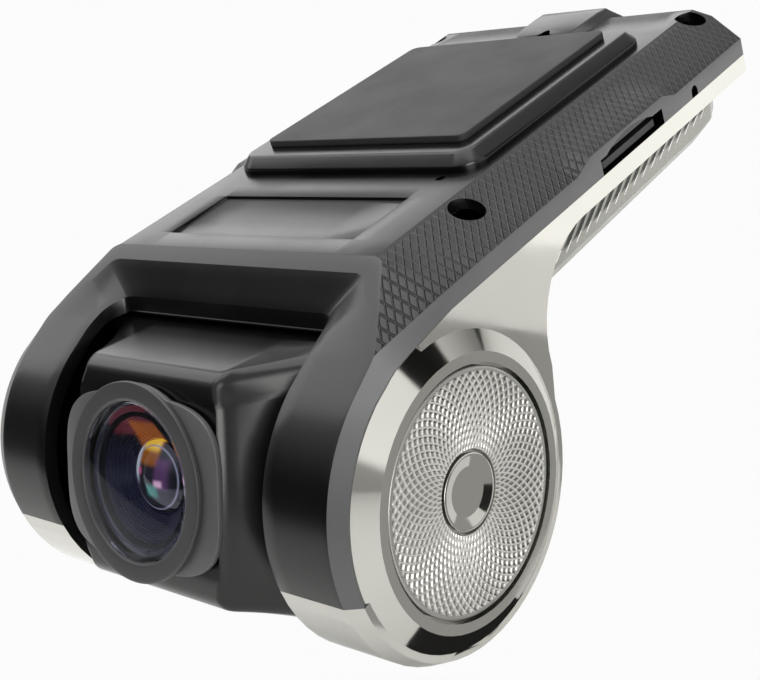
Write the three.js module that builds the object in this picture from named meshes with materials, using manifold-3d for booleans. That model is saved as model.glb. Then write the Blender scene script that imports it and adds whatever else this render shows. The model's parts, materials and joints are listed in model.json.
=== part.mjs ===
// Windscreen dash camera, in millimetres, +Z up.
// The adhesive pad on top presses on the glass. The lens module is a drum that turns between two
// round cheeks at the front. The deck behind them holds the circuit board and the memory card.
// The model is laid out on the lens module's pivot: y = 0 and z = 0 are the pivot axis, +X is the
// card slot's side and -Y is the way the camera looks. The last lines put the origin on the pad.
import * as THREE from 'three';
import { mergeVertices } from 'three/addons/utils/BufferGeometryUtils.js';
import { ConvexGeometry } from 'three/addons/geometries/ConvexGeometry.js';
import Module from 'manifold-3d';

const kernel = await Module();
kernel.setup();

// ---------------------------------------------------------------- driving dimensions
const clearance = 0.3; // running gap between pieces that fit into each other
const wall = 1.4; // thickness of the moulded housing walls

// Deck
const bodyHalfWidth = 25; // side wall of the deck
const deckTop = 20.34; // top face of the deck above the pivot
const rearY = 66.1; // rear face of the deck
const slopeWidth = 6.87; // textured strip that falls away beside the flat top
const slopeDrop = 2.89;
const sideWallHeight = 1.9; // from the upper edge of the side wall to the seam
const stripHeight = 1.9; // the lower shell's side strip
const cornerCut = 4.6; // rear corners, across
const cornerCutLength = 3; // rear corners, along
const deckFrontY = 5.15; // front edge of the flat deck
const shoulderY = 11; // the side slope falls towards the cheek in front of here

// Cheeks and neck
const cheekRadius = 15.83; // outside of the two cheeks
const cheekDepth = 9.15; // how far a cheek reaches in from the side wall
const cheekWall = 1.5; // inner wall of a cheek, which carries the pivot
const cheekSplitZ = -0.9; // seam across the front of the cheek
const rimWidth = 1.69; // dark rim beside the bright bevel
const rimDrop = 0.73;
const tangentAngle = 116.8; // where the sloping front leaves the cheek's circle, from +Y
const neckRadius = 10.5; // concave underside between the cheeks and the strip
const neckGap = 0.17; // between the cheek's circle and the neck's arc

// Recess around the lens
const frameChamferLength = 1.67; // chamfer from the deck into the recess
const frameChamferDrop = 0.84;
const recessWallLength = 2.33;
const recessWallDrop = 3;
const recessFlare = 1.65; // the recess is wider than the cheeks' gap at its top
const recessTaper = 1.55; // and narrower at its lip
const lipWallY = 0.5; // vertical face under the lip
const lipWallHeight = 1.6;

// Bevels, dials and hubs on the cheeks
const bevelStand = 1; // the bevel's rim stands out of the side wall
const bevelHeight = 1.3;
const bevelWidth = 2.46;
const dialSeatRadius = 11.5; // bore that the textured dial sits in
const dialThickness = 1.2; // at its edge
const dialDish = 0.5; // how much thinner the dial is beside the hub
const hubRadius = 3.53;
const hubFlatRadius = 2.2;
const hubThickness = 0.76;
const hubDish = 0.3;

// Lens module
const drumGap = 0.4; // between the drum's ends and the cheeks
const drumRadius = 14.4;
const drumWall = 1.2;
const pivotRadius = 4;
const pivotWall = 1.4;
const pivotFlangeWidth = 1.4;
const pivotFlange = 0.9;
const ringWall = 0.8; // friction ring between pin and cheek
const ringFlangeWidth = 1.5;
const ringFlange = 0.8;
const ribbonAngle = THREE.MathUtils.degToRad(35.5); // where the ribbon leaves the drum, above +Y
const restTilt = THREE.MathUtils.degToRad(25.2); // lens above the deck's plane at rest
const blockHalfWidth = 9.3; // the block that stands out of the drum, at its front edge
const blockFront = 15.5; // its front face, ahead of the pivot
const blockTop = 10.7; // upper edge of its front
const plateThickness = 0.7;
const plateHalfHeight = 8;
const plateHalfWidth = 11.2;
const plateTaper = 2.4; // how much narrower the plate is at its top and bottom
const glassRadius = 7.3;
const bezelWidth = 1.7;
const bezelThickness = 0.45;
const glassCrown = 0.5; // rise of the front glass at its centre
const glassEdge = 1.1;
const barrelWall = 1.3;
const sensorBoardSize = 15;
const boardThickness = 1;

// Mounting plate and pad
const padHalfWidth = 14;
const padFrontY = 25.4;
const padLength = 28.5;
const padThickness = 0.78;
const plateRise = 1.72; // the mounting plate's thickness
const plateMargin = 3; // the plate beside the pad, in front and at the sides
const plateMarginRear = 3.1;
const bracketChamfer = 1.1;
const bracketEdge = 0.6; // upright part of the plate's side
const bracketCorner = 3;

const labelHalfWidth = 13; // shallow blank recess in front of the plate
const labelFrontY = 8;
const labelLength = 8.6;
const labelDepth = 0.35;

// Pod under the deck
const podInset = 1.7; // the pod inside the side wall
const podDepthFront = 7.35; // its lowest line below the strip, at the front
const podDepthRear = 6.35; // and where it starts to rise
const podRiseLength = 11.6;
const podWall = 1.3;
const podRoundness = 0.44; // power of the pod's section: 1 is an ellipse, 0 a box
const windowMargin = 2.7; // edge of the lower shell's opening inside the pod's outline

// Main board
const boardSideGap = 8; // from the side wall
const boardDrop = 2.14; // from the deck's top face
const boardFrontY = 23.5;
const boardRearGap = 3.8;
const postRadius = 2.1;

// Memory card, a standard size
const cardWidth = 11;
const cardLength = 15;
const cardThickness = 0.7;
const cardUnderBoard = 0.55;
const cardSetback = 0.4; // its end inside the side wall
const cardFrontY = 31.9;
const socketFloor = 0.3;
const socketSide = 0.65; // side walls of the socket
const socketSetback = 4.5;
const slotMargin = 0.6; // opening beside the card, in front
const slotMarginRear = 1.1;
const slotHeight = 1.65;
const nailRadius = 13.6; // finger-nail scoop over the slot
const nailRise = 0.85;
const humpHeight = 0.85; // rise of the side edge over the card
const humpReach = 5.5;

// Reset pin
const resetY = 51.1;
const resetRise = 0.55; // above the seam
const resetRadius = 0.5;
const resetHole = 0.6;
const resetSetback = 2.8;

// Screws
const screwHeadRadius = 1.4;
const screwHead = 1;
const screwSink = 2.74; // head below the deck's top face
const screwShank = 0.8;
const bossRadius = 2.2;
const frontScrewSetback = 4.85;
const frontScrewY = 16;
const rearScrewSetback = 6.1;
const rearScrewGap = 2.3;

// Cable outlet in the rear face
const gateX = 1;
const gateHalfWidth = 8.4;
const gateTopHalfWidth = 4.6;
const gateReach = 2.1;
const gateRise = 0.81;
const grommetDrop = 2.44;
const grommetRadius = 2.1;
const grommetBore = 1.6;
const grommetFlangeRadius = 2.8;
const grommetFlange = 0.8;

// ---------------------------------------------------------------- sizes that follow
const deckFlatHalf = bodyHalfWidth - slopeWidth;
const sideEdgeZ = deckTop - slopeDrop;
const partingZ = sideEdgeZ - sideWallHeight;
const stripBottomZ = partingZ - stripHeight;
const deckUnder = deckTop - wall;

const cheekInnerX = bodyHalfWidth - cheekDepth;
const cheekHollowX = cheekInnerX + cheekWall;
const cheekBandX = bodyHalfWidth - rimWidth;
const discX = cheekBandX + 0.1; // inner face of the lower shell's round side walls
const rimRadius = cheekRadius - rimDrop;
const neckY = cheekRadius + neckGap + neckRadius;
const neckZ = stripBottomZ - neckRadius;
const cheekFrontAngle = 180 - THREE.MathUtils.radToDeg(Math.asin(cheekSplitZ / cheekRadius));

const frameChamferY = deckFrontY - frameChamferLength;
const frameChamferZ = deckTop - frameChamferDrop;
const lipY = frameChamferY - recessWallLength;
const lipZ = frameChamferZ - recessWallDrop;
const recessHalfTop = cheekInnerX + recessFlare;
const recessHalfBottom = cheekInnerX - recessTaper;

const bevelOuterRadius = rimRadius - 0.15;
const bevelInnerRadius = bevelOuterRadius - bevelWidth;
const bevelRimX = bodyHalfWidth + bevelStand;
const bevelFootX = bevelRimX - bevelHeight;
const dialFloorX = bevelFootX;

const drumHalfLength = cheekInnerX - drumGap;
const cradleRadius = drumRadius + 0.55; // hollow that the drum turns in
const shellSplit = pivotRadius + 0.2; // seam of the lens module, in front of its pivot
const pivotBore = pivotRadius - pivotWall;
const pivotBoreRadius = pivotRadius + 2 * clearance + ringWall;
const plateEndHalfWidth = plateHalfWidth - plateTaper;
const bezelInner = glassRadius + clearance;
const bezelRadius = bezelInner + bezelWidth;
const barrelBore = glassRadius - 0.1 - barrelWall;
const barrelFoot = shellSplit + 0.1;

const padRearY = padFrontY + padLength;
const bracketTop = deckTop + plateRise;
const bracketHalfWidth = padHalfWidth + plateMargin;
const bracketFrontY = padFrontY - plateMargin - 0.5;
const bracketRearY = padRearY + plateMarginRear;
const labelRearY = labelFrontY + labelLength;

const podHalfWidth = bodyHalfWidth - podInset;
const podFrontY = cheekRadius - 4;
const podEndY = rearY - 0.5;
const podRiseY = podEndY - podRiseLength;
const windowHalfWidth = podHalfWidth - windowMargin;
const windowFrontY = neckY - neckRadius + 3.3;
const windowRearY = podEndY - 6.6;

const boardTop = deckTop - boardDrop;
const boardUnder = boardTop - boardThickness;
const boardHalfWidth = bodyHalfWidth - boardSideGap;
const boardRearY = rearY - boardRearGap;

const cardTop = boardUnder - cardUnderBoard;
const cardEndX = bodyHalfWidth - cardSetback;
const cardBackY = cardFrontY + cardWidth;
const socketOuterX = bodyHalfWidth - socketSetback;
const slotTop = partingZ + slotHeight;
const humpFootFront = cardFrontY - 4.8;
const humpFront = cardFrontY - 2.4;
const humpRear = cardBackY + 1.6;
const humpFootRear = cardBackY + 4.1;
const humpInnerX = bodyHalfWidth - humpReach;

const resetZ = partingZ + resetRise;
const resetTipX = bodyHalfWidth - resetSetback;
const switchX = boardHalfWidth;
const microphonePlace = [boardHalfWidth - 3.2, boardFrontY - 2.7];

const screwHeadTop = deckTop - screwSink;
const gateEndY = rearY + gateReach;
const gateTopZ = deckTop + gateRise;
const grommetZ = deckTop - grommetDrop;

const far = 200; // reaches past every piece
const fine = 64; // sides of the large round faces
const medium = 40;
const small = 24;
const tiny = 12;

// ---------------------------------------------------------------- solids
const toAxis = {
  x: new THREE.Matrix4().set(0, 0, 1, 0, 1, 0, 0, 0, 0, 1, 0, 0, 0, 0, 0, 1),
  y: new THREE.Matrix4().set(0, 1, 0, 0, 0, 0, 1, 0, 1, 0, 0, 0, 0, 0, 0, 1),
  z: new THREE.Matrix4(),
};

// A closed geometry as a solid: vertices merged, slivers dropped, faces turned outwards.
function solid(geometry) {
  const bare = new THREE.BufferGeometry();
  bare.setAttribute('position', geometry.getAttribute('position'));
  bare.setIndex(geometry.index);
  const merged = mergeVertices(bare, 1e-4);
  const points = merged.attributes.position.array;
  const corner = (i) => new THREE.Vector3().fromArray(points, 3 * i);
  const triangles = [];
  let volume = 0;
  for (let i = 0; i < merged.index.count; i += 3) {
    const [a, b, c] = merged.index.array.slice(i, i + 3);
    if (a === b || b === c || c === a) continue;
    triangles.push([a, b, c]);
    volume += corner(a).dot(corner(b).cross(corner(c)));
  }
  const outward = volume > 0 ? triangles : triangles.map(([a, b, c]) => [a, c, b]);
  const mesh = new kernel.Mesh({
    numProp: 3,
    vertProperties: Float32Array.from(points),
    triVerts: Uint32Array.from(outward.flat()),
  });
  return new kernel.Manifold(mesh);
}

// An outline carried along an axis. Outlines are (y, z) along x, (x, z) along y, (x, y) along z.
function prism(axis, outline, from, to) {
  const flat = axis === 'y' ? outline.map(([x, z]) => [z, x]) : outline;
  const shape = new THREE.Shape(flat.map(([u, v]) => new THREE.Vector2(u, v)));
  const geometry = new THREE.ExtrudeGeometry(shape, { depth: to - from, bevelEnabled: false });
  return solid(geometry.translate(0, 0, from).applyMatrix4(toAxis[axis]));
}

// A profile of [radius, place along the axis] turned about an axis through `at`.
function turned(axis, profile, at = [0, 0, 0], segments = 32) {
  const points = profile.map(([radius, along]) => new THREE.Vector2(radius, along));
  const geometry = new THREE.LatheGeometry(points, segments).rotateX(Math.PI / 2);
  return solid(geometry.applyMatrix4(toAxis[axis]).translate(...at));
}

function rod(axis, radius, from, to, at, segments) {
  return turned(axis, [[0, from], [radius, from], [radius, to], [0, to]], at, segments);
}

function tube(axis, outer, inner, from, to, at, segments) {
  const profile = [[inner, from], [outer, from], [outer, to], [inner, to], [inner, from]];
  return turned(axis, profile, at, segments);
}

function box(x0, x1, y0, y1, z0, z1) {
  const geometry = new THREE.BoxGeometry(x1 - x0, y1 - y0, z1 - z0);
  return solid(geometry.translate((x0 + x1) / 2, (y0 + y1) / 2, (z0 + z1) / 2));
}

function hull(points) {
  return solid(new ConvexGeometry(points.map((point) => new THREE.Vector3(...point))));
}

// A skin through rings of the same number of [u, v] points, each at its place along an axis.
function loft(axis, stations) {
  const count = stations[0].ring.length;
  const positions = stations.flatMap(({ at, ring }) => ring.flatMap(([u, v]) => [u, v, at]));
  const index = [];
  for (let s = 0; s + 1 < stations.length; s += 1) {
    for (let i = 0; i < count; i += 1) {
      const a = s * count + i;
      const b = s * count + ((i + 1) % count);
      index.push(a, b, b + count, a, b + count, a + count);
    }
  }
  const cap = (ring, base, turn) => {
    const flat = ring.map(([u, v]) => new THREE.Vector2(u, v));
    for (const [a, b, c] of THREE.ShapeUtils.triangulateShape(flat, [])) {
      index.push(base + a, base + (turn ? c : b), base + (turn ? b : c));
    }
  };
  const clockwise = THREE.ShapeUtils.isClockWise(
    stations[0].ring.map(([u, v]) => new THREE.Vector2(u, v)),
  );
  cap(stations[0].ring, 0, !clockwise);
  cap(stations.at(-1).ring, (stations.length - 1) * count, clockwise);
  const geometry = new THREE.BufferGeometry();
  geometry.setAttribute('position', new THREE.Float32BufferAttribute(positions, 3));
  geometry.setIndex(index);
  return solid(geometry.applyMatrix4(toAxis[axis]));
}

function arc(u, v, radius, fromDegrees, toDegrees, steps) {
  return Array.from({ length: steps + 1 }, (_, i) => {
    const angle = THREE.MathUtils.degToRad(fromDegrees + ((toDegrees - fromDegrees) * i) / steps);
    return [u + radius * Math.cos(angle), v + radius * Math.sin(angle)];
  });
}

function roundedRectangle(halfWidth, y0, y1, radius, steps = 4) {
  return [
    ...arc(halfWidth - radius, y0 + radius, radius, -90, 0, steps),
    ...arc(halfWidth - radius, y1 - radius, radius, 0, 90, steps),
    ...arc(radius - halfWidth, y1 - radius, radius, 90, 180, steps),
    ...arc(radius - halfWidth, y0 + radius, radius, 180, 270, steps),
  ];
}

const mirrored = (part) => part.mirror([1, 0, 0]);
const onBothSides = (part) => part.add(mirrored(part));
const union = (parts) => parts.reduce((whole, part) => whole.add(part));
const cut = (body, ...tools) => tools.reduce((rest, tool) => rest.subtract(tool), body);

// ---------------------------------------------------------------- shared outlines
const slopeZ = (x) => {
  const share = Math.max(0, (x - deckFlatHalf) / (bodyHalfWidth - deckFlatHalf));
  return deckTop - share * (deckTop - sideEdgeZ);
};

// Where the upper and the lower shell meet above the round side wall, from the rear forwards.
const partingCurve = [[rearY, partingZ], [deckFrontY, partingZ], [0, rimRadius - 0.05]];

// The upper shell's outline at a width x, from the cheek's seam over the front to the rear.
function upperOutline(x, radius, endAngle, shoulderStart) {
  return [
    ...arc(0, 0, radius, cheekFrontAngle, endAngle, 12),
    shoulderStart,
    [shoulderY, slopeZ(x)],
    [rearY, slopeZ(x)],
    ...partingCurve,
    [0, cheekSplitZ],
  ];
}

// What the slanted rear corners leave out, moved inwards by a wall for the hollow behind them.
function rearCorners(inset) {
  const slant = Math.hypot(cornerCut, cornerCutLength);
  const across = bodyHalfWidth - cornerCut - (inset * slant) / cornerCutLength;
  const run = 2 * cornerCutLength;
  return onBothSides(prism('z', [
    [across, rearY],
    [across + 2 * cornerCut, rearY - run],
    [across + 2 * cornerCut + 9, rearY + 9],
    [across, rearY + 9],
  ], 0, far));
}

// ---------------------------------------------------------------- screw holes and card slot
const frontScrewX = bodyHalfWidth - frontScrewSetback;
const rearScrewX = bodyHalfWidth - rearScrewSetback;
const screwPlaces = {
  shell_screw_front_right: [frontScrewX, frontScrewY],
  shell_screw_rear_right: [rearScrewX, rearY - rearScrewGap],
  shell_screw_front_left: [-frontScrewX, frontScrewY],
  shell_screw_rear_left: [-rearScrewX, rearY - rearScrewGap],
};
const boardScrewPlaces = {
  board_screw_front: [4.5 - boardHalfWidth, boardFrontY + 5.5],
  board_screw_rear: [boardHalfWidth - 3.8, boardRearY - 3.8],
};
const screwSeatZ = screwHeadTop - screwHead;
const boardScrewLength = deckUnder + 0.4 - boardUnder + screwHead;
const shellScrewTip = stripBottomZ + 0.75;

function screw([x, y], headTop, length, headUp) {
  const side = headUp ? -1 : 1;
  const profile = [
    [0, headTop],
    [screwHeadRadius, headTop],
    [screwHeadRadius, headTop + side * screwHead],
    [screwShank, headTop + side * screwHead],
    [screwShank, headTop + side * length],
    [0, headTop + side * length],
  ];
  return turned('z', profile, [x, y, 0], tiny);
}

// ---------------------------------------------------------------- upper shell
function upperShell() {
  const tangentY = cheekRadius * Math.cos(THREE.MathUtils.degToRad(tangentAngle));
  const tangentZ = cheekRadius * Math.sin(THREE.MathUtils.degToRad(tangentAngle));
  const frontSlope = (deckTop - tangentZ) / (deckFrontY - tangentY);
  const onFront = (y) => [y, deckTop - (deckFrontY - y) * frontSlope];
  const shoulderX = (deckFlatHalf + cheekBandX) / 2;
  const side = loft('x', [
    { at: cheekInnerX, ring: upperOutline(0, cheekRadius, tangentAngle, onFront(deckFrontY)) },
    { at: deckFlatHalf, ring: upperOutline(0, cheekRadius, tangentAngle, onFront(deckFrontY)) },
    { at: shoulderX, ring: upperOutline(shoulderX, cheekRadius, tangentAngle, onFront(2)) },
    { at: cheekBandX, ring: upperOutline(cheekBandX, cheekRadius, tangentAngle, onFront(-3.4)) },
    { at: bodyHalfWidth, ring: upperOutline(bodyHalfWidth, rimRadius, 90, [1.5, rimRadius + 0.3]) },
  ]);
  const middle = prism('x', [
    [lipWallY, cradleRadius - 1],
    [lipWallY, lipZ - lipWallHeight],
    [lipY, lipZ],
    [frameChamferY, frameChamferZ],
    [deckFrontY, deckTop],
    [rearY, deckTop],
    [rearY, partingZ],
    [deckFrontY, partingZ],
  ], -cheekInnerX, cheekInnerX);

  const hump = hull([
    [bodyHalfWidth, humpFootFront, sideEdgeZ - 0.05],
    [bodyHalfWidth, humpFront, sideEdgeZ + humpHeight],
    [bodyHalfWidth, humpRear, sideEdgeZ + humpHeight],
    [bodyHalfWidth, humpFootRear, sideEdgeZ - 0.05],
    [bodyHalfWidth, humpFootFront, partingZ + 0.5],
    [bodyHalfWidth, humpFootRear, partingZ + 0.5],
    [humpInnerX, humpFront + 1, slopeZ(humpInnerX) - 0.05],
    [humpInnerX, humpRear - 1, slopeZ(humpInnerX) - 0.05],
  ]);
  const gate = hull([-1, 1].flatMap((s) => [
    [gateX + s * gateHalfWidth, gateEndY, partingZ],
    [gateX + s * gateHalfWidth, gateEndY, deckTop - 1.3],
    [gateX + s * gateTopHalfWidth, gateEndY - 0.8, gateTopZ],
    [gateX + s * gateTopHalfWidth, gateEndY - 5, gateTopZ],
    [gateX + s * (gateTopHalfWidth - 1), rearY - 7.5, deckTop - 0.05],
    [gateX + s * gateHalfWidth, rearY - 2, partingZ],
    [gateX + s * gateHalfWidth, rearY - 2, deckTop - 0.05],
  ]));

  const inside = bodyHalfWidth - wall;
  const deckHollow = prism('y', [
    [-inside, partingZ - 1],
    [-inside, sideEdgeZ - 1],
    [-deckFlatHalf + 0.5, deckUnder],
    [deckFlatHalf - 0.5, deckUnder],
    [inside, sideEdgeZ - 1],
    [inside, partingZ - 1],
  ], deckFrontY + 2, rearY - wall).subtract(rearCorners(wall));
  const recess = hull([-1, 1].flatMap((s) => [
    [s * recessHalfTop, frameChamferY, frameChamferZ],
    [s * recessHalfBottom, lipY, lipZ],
    [s * cheekInnerX, ...onFront(tangentY)],
    [s * recessHalfTop, frameChamferY - 1, frameChamferZ + 1.5],
    [s * cheekInnerX, tangentY - 1.5, tangentZ + 1.5],
    [s * recessHalfBottom, -3, 13],
  ]));

  const bosses = Object.values(screwPlaces).map(([x, y]) => {
    return rod('z', bossRadius, partingZ, deckUnder - 0.4, [x, y, 0], tiny);
  });
  const posts = Object.values(boardScrewPlaces).map(([x, y]) => {
    return rod('z', postRadius, boardTop, deckUnder + 0.2, [x, y, 0], tiny);
  });
  const screwHoles = Object.values(screwPlaces).map(([x, y]) => {
    const head = rod('z', screwHeadRadius + clearance, screwSeatZ, far, [x, y, 0], tiny);
    return head.add(rod('z', screwShank + clearance, 0, screwSeatZ + 0.1, [x, y, 0], tiny));
  });
  const postHoles = Object.values(boardScrewPlaces).map(([x, y]) => {
    return rod('z', screwShank + clearance, 0, deckUnder + 0.7, [x, y, 0], tiny);
  });

  const slot = box(
    socketOuterX - 1,
    far,
    cardFrontY - slotMargin,
    cardBackY + slotMarginRear,
    partingZ - 1,
    slotTop,
  );
  const nailMiddle = [0, cardFrontY + 5.3, slotTop + nailRise - nailRadius];
  const nail = rod('x', nailRadius, bodyHalfWidth - 0.5, far, nailMiddle, 96)
    .intersect(box(0, far, 0, far, slotTop - 0.2, far));
  const resetPath = rod('x', resetHole + 0.15, resetTipX - 1.5, far, [0, resetY, resetZ], tiny)
    .add(box(resetTipX - 1.5, far, resetY - resetHole, resetY + resetHole, partingZ - 1, resetZ));
  const label = box(
    -labelHalfWidth, labelHalfWidth, labelFrontY, labelRearY, deckTop - labelDepth, far,
  );

  const body = union([middle, side, mirrored(side), hump, gate]);
  const open = cut(
    body,
    deckHollow,
    rod('x', cradleRadius, -cheekInnerX, cheekInnerX, undefined, fine),
    box(-cheekInnerX, cheekInnerX, -far, lipWallY, -far, far),
    onBothSides(rod('x', cheekRadius - wall, cheekHollowX, far, undefined, medium)),
    onBothSides(rod('x', rimRadius - 0.05, discX, far, undefined, fine)),
    onBothSides(rod('x', pivotBoreRadius, 0, far, undefined, small)),
    recess,
    rearCorners(0),
    label,
    rod('z', 0.5, 0, far, [microphonePlace[0], microphonePlace[1], 0], 12),
  );
  const lower = prism('x', [...partingCurve, [0, -far], [rearY, -far]], -far, far);
  return cut(
    union([open, ...bosses, ...posts]),
    lower,
    slot,
    nail,
    resetPath,
    rod('y', grommetRadius + clearance, rearY - wall - 1, far, [gateX, 0, grommetZ], 16),
    ...screwHoles,
    ...postHoles,
  );
}

// ---------------------------------------------------------------- lower shell
function lowerShell() {
  const neck = (radius, from, to) => arc(neckY, neckZ, radius, from, to, 10);
  const below = [
    ...arc(0, 0, cheekRadius, cheekFrontAngle, 360, 28),
    ...neck(neckRadius, 180, 90),
    [rearY, stripBottomZ],
    ...partingCurve,
    [0, cheekSplitZ],
  ];
  const narrow = below.map(([y, z]) => {
    const radius = Math.hypot(y, z);
    const share = y < neckY - neckRadius && radius > rimRadius ? rimRadius / radius : 1;
    return z > 0 ? [y, z] : [y * share, z * share];
  });
  const block = loft('x', [
    { at: -bodyHalfWidth, ring: narrow },
    { at: -cheekBandX, ring: below },
    { at: cheekBandX, ring: below },
    { at: bodyHalfWidth, ring: narrow },
  ]);

  // Round side walls with the bright bevel and the seat of the dial.
  const bevel = turned('x', [
    [0, discX],
    [bevelOuterRadius, discX],
    [bevelOuterRadius, bevelFootX],
    [bevelInnerRadius, bevelRimX],
    [dialSeatRadius, bevelRimX],
    [dialSeatRadius, dialFloorX],
    [0, dialFloorX],
  ], undefined, fine);
  const dialSeat = rod('x', dialSeatRadius, dialFloorX, far, undefined, fine);

  const backWall = cheekRadius + 0.17;
  const inside = bodyHalfWidth - wall;
  const roomy = cut(
    prism('x', [
      [3, neckZ + 1],
      [neckY, neckZ + 1],
      [neckY, stripBottomZ + wall],
      [rearY - wall, stripBottomZ + wall],
      [rearY - wall, far],
      [3, far],
    ], -inside, inside),
    rod('x', backWall, -far, far, undefined, fine),
    rod('x', neckRadius + wall - 0.1, -far, far, [0, neckY, neckZ], fine),
    rearCorners(wall),
  );
  const opening = box(-windowHalfWidth, windowHalfWidth, windowFrontY, windowRearY, 9, far);
  const ribbonGapZ = cradleRadius * Math.sin(ribbonAngle) - 0.4;
  const ribbonGapY = cradleRadius * Math.cos(ribbonAngle) - 4.2;
  const ribbonGap = box(-7, 7, ribbonGapY, neckY - neckRadius + 2, ribbonGapZ, far);
  const gateFoot = box(
    gateX - gateHalfWidth, gateX + gateHalfWidth, rearY - 1, gateEndY, stripBottomZ, partingZ,
  );
  const bosses = Object.values(screwPlaces).map(([x, y]) => {
    const foot = y < neckY ? neckZ + neckRadius - 4 : stripBottomZ;
    return rod('z', bossRadius, foot, partingZ, [x, y, 0], tiny);
  });
  const bores = Object.values(screwPlaces).map(([x, y]) => {
    return rod('z', screwShank + clearance, shellScrewTip - 0.4, far, [x, y, 0], tiny);
  });

  const hollowed = cut(
    block,
    onBothSides(dialSeat),
    rod('x', cradleRadius, -cheekInnerX, cheekInnerX, undefined, fine),
    box(-cheekInnerX, cheekInnerX, -far, lipWallY, -far, far),
    onBothSides(rod('x', cheekRadius - wall, cheekHollowX, discX, undefined, medium)),
    onBothSides(rod('x', pivotBoreRadius, 0, discX, undefined, small)),
    roomy,
    opening,
    ribbonGap,
    rearCorners(0),
  );
  return cut(union([hollowed, onBothSides(bevel), gateFoot, ...bosses]), ...bores);
}

// ---------------------------------------------------------------- pod, plate and pad
function podSection(halfWidth, bottom, top) {
  const steps = 12;
  const curve = Array.from({ length: steps + 1 }, (_, i) => {
    const angle = (Math.PI * i) / steps;
    const across = Math.sign(Math.cos(angle)) * Math.abs(Math.cos(angle)) ** podRoundness;
    const down = Math.abs(Math.sin(angle)) ** podRoundness;
    return [top - (top - bottom) * down, halfWidth * across];
  });
  return curve;
}

function pod(inset) {
  const rising = [0, 0.3, 0.52, 0.69, 0.83, 0.93, 1].map((share) => podRiseY + share * podRiseLength);
  const places = [podFrontY, neckY, ...rising];
  const top = stripBottomZ;
  return loft('y', places.map((y) => {
    const along = Math.max(0, (y - podRiseY) / (podEndY - podRiseY));
    const share = Math.max(0.12, Math.sqrt(1 - along ** 2));
    const run = Math.min(1, (y - podFrontY) / (podRiseY - podFrontY));
    const fullDepth = podDepthFront + run * (podDepthRear - podDepthFront);
    const narrowing = 1 - 0.35 * along ** 3;
    const depth = Math.max(0.2, fullDepth * share - inset);
    return {
      at: y - inset * along,
      ring: podSection(podHalfWidth * narrowing - inset, top - depth, top + (inset ? 0.1 : 0)),
    };
  }));
}

function bellyCover() {
  const neckBlock = prism('x', [
    ...arc(0, 0, cheekRadius + clearance, 250, 360, 16),
    ...arc(neckY, neckZ, neckRadius - clearance, 180, 90, 10),
    [neckY, far],
    [-far, far],
    [-far, -far],
  ], -far, far);
  return cut(pod(0), pod(podWall), neckBlock);
}

function mountBracket() {
  const outline = roundedRectangle(bracketHalfWidth, bracketFrontY, bracketRearY, bracketCorner);
  const middleY = (bracketFrontY + bracketRearY) / 2;
  const halfLength = (bracketRearY - bracketFrontY) / 2;
  const top = outline.map(([x, y]) => [
    x * (1 - bracketChamfer / bracketHalfWidth),
    middleY + (y - middleY) * (1 - bracketChamfer / halfLength),
  ]);
  return loft('z', [
    { at: deckTop, ring: outline },
    { at: deckTop + bracketEdge, ring: outline },
    { at: bracketTop, ring: top },
  ]);
}

function adhesivePad() {
  const outline = roundedRectangle(padHalfWidth, padFrontY, padRearY, 1, 2);
  return prism('z', outline, bracketTop, bracketTop + padThickness);
}

// ---------------------------------------------------------------- dials
function dialInsert() {
  const hole = hubRadius + clearance;
  return turned('x', [
    [hole, dialFloorX],
    [dialSeatRadius - clearance, dialFloorX],
    [dialSeatRadius - clearance, dialFloorX + dialThickness],
    [hole, dialFloorX + dialThickness - dialDish],
    [hole, dialFloorX],
  ], undefined, medium);
}

function hubCap() {
  const top = dialFloorX + hubThickness;
  return turned('x', [
    [0, dialFloorX],
    [hubRadius, dialFloorX],
    [hubRadius, top],
    [hubRadius - 0.25, top],
    [hubFlatRadius, top - hubDish],
    [0, top - hubDish],
  ], undefined, small);
}

// ---------------------------------------------------------------- electronics
function mainBoard() {
  const board = box(
    -boardHalfWidth,
    boardHalfWidth,
    boardFrontY,
    boardRearY,
    boardUnder,
    boardTop,
  );
  const around = Object.values(screwPlaces).map(([x, y]) => {
    return rod('z', bossRadius + clearance, 0, far, [x, y, 0], tiny);
  });
  const holes = Object.values(boardScrewPlaces).map(([x, y]) => {
    return rod('z', screwShank + clearance, 0, far, [x, y, 0], tiny);
  });
  return cut(board, ...around, ...holes);
}

function cardSocket() {
  const cardStart = cardEndX - cardLength;
  const gap = clearance;
  const bottom = cardTop - cardThickness - gap - socketFloor;
  const outside = box(
    cardStart - gap - 0.6,
    socketOuterX,
    cardFrontY - gap - socketSide,
    cardBackY + gap + socketSide,
    bottom,
    boardUnder,
  );
  const cavity = box(
    cardStart - gap, far, cardFrontY - gap, cardBackY + gap, bottom + socketFloor, cardTop + gap,
  );
  return outside.subtract(cavity);
}

function microSdCard() {
  const start = cardEndX - cardLength;
  const outline = [
    [start, cardFrontY + 1.2],
    [start + 0.8, cardFrontY],
    [cardEndX - 0.3, cardFrontY],
    [cardEndX, cardFrontY + 0.3],
    [cardEndX, cardBackY - 0.3],
    [cardEndX - 0.3, cardBackY],
    [start + 6, cardBackY],
    [start + 5, cardBackY - 1.3],
    [start, cardBackY - 1.3],
  ];
  return prism('z', outline, cardTop - cardThickness, cardTop);
}

function heatSink() {
  const [x, y] = processorPlace;
  const top = boardUnder - processorHeight - padHeight;
  const base = box(x - 11, x + 11, y - 9, y + 9, top - 1.6, top);
  const fins = [-10, -5, 0, 5, 10].map((step) => {
    return box(x + step - 0.6, x + step + 0.6, y - 9, y + 9, top - 5, top - 1.5);
  });
  return union([base, ...fins]);
}
const processorPlace = [-3, boardFrontY + 18.5];
const processorHeight = 1.2;
const padHeight = 0.8;

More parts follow.
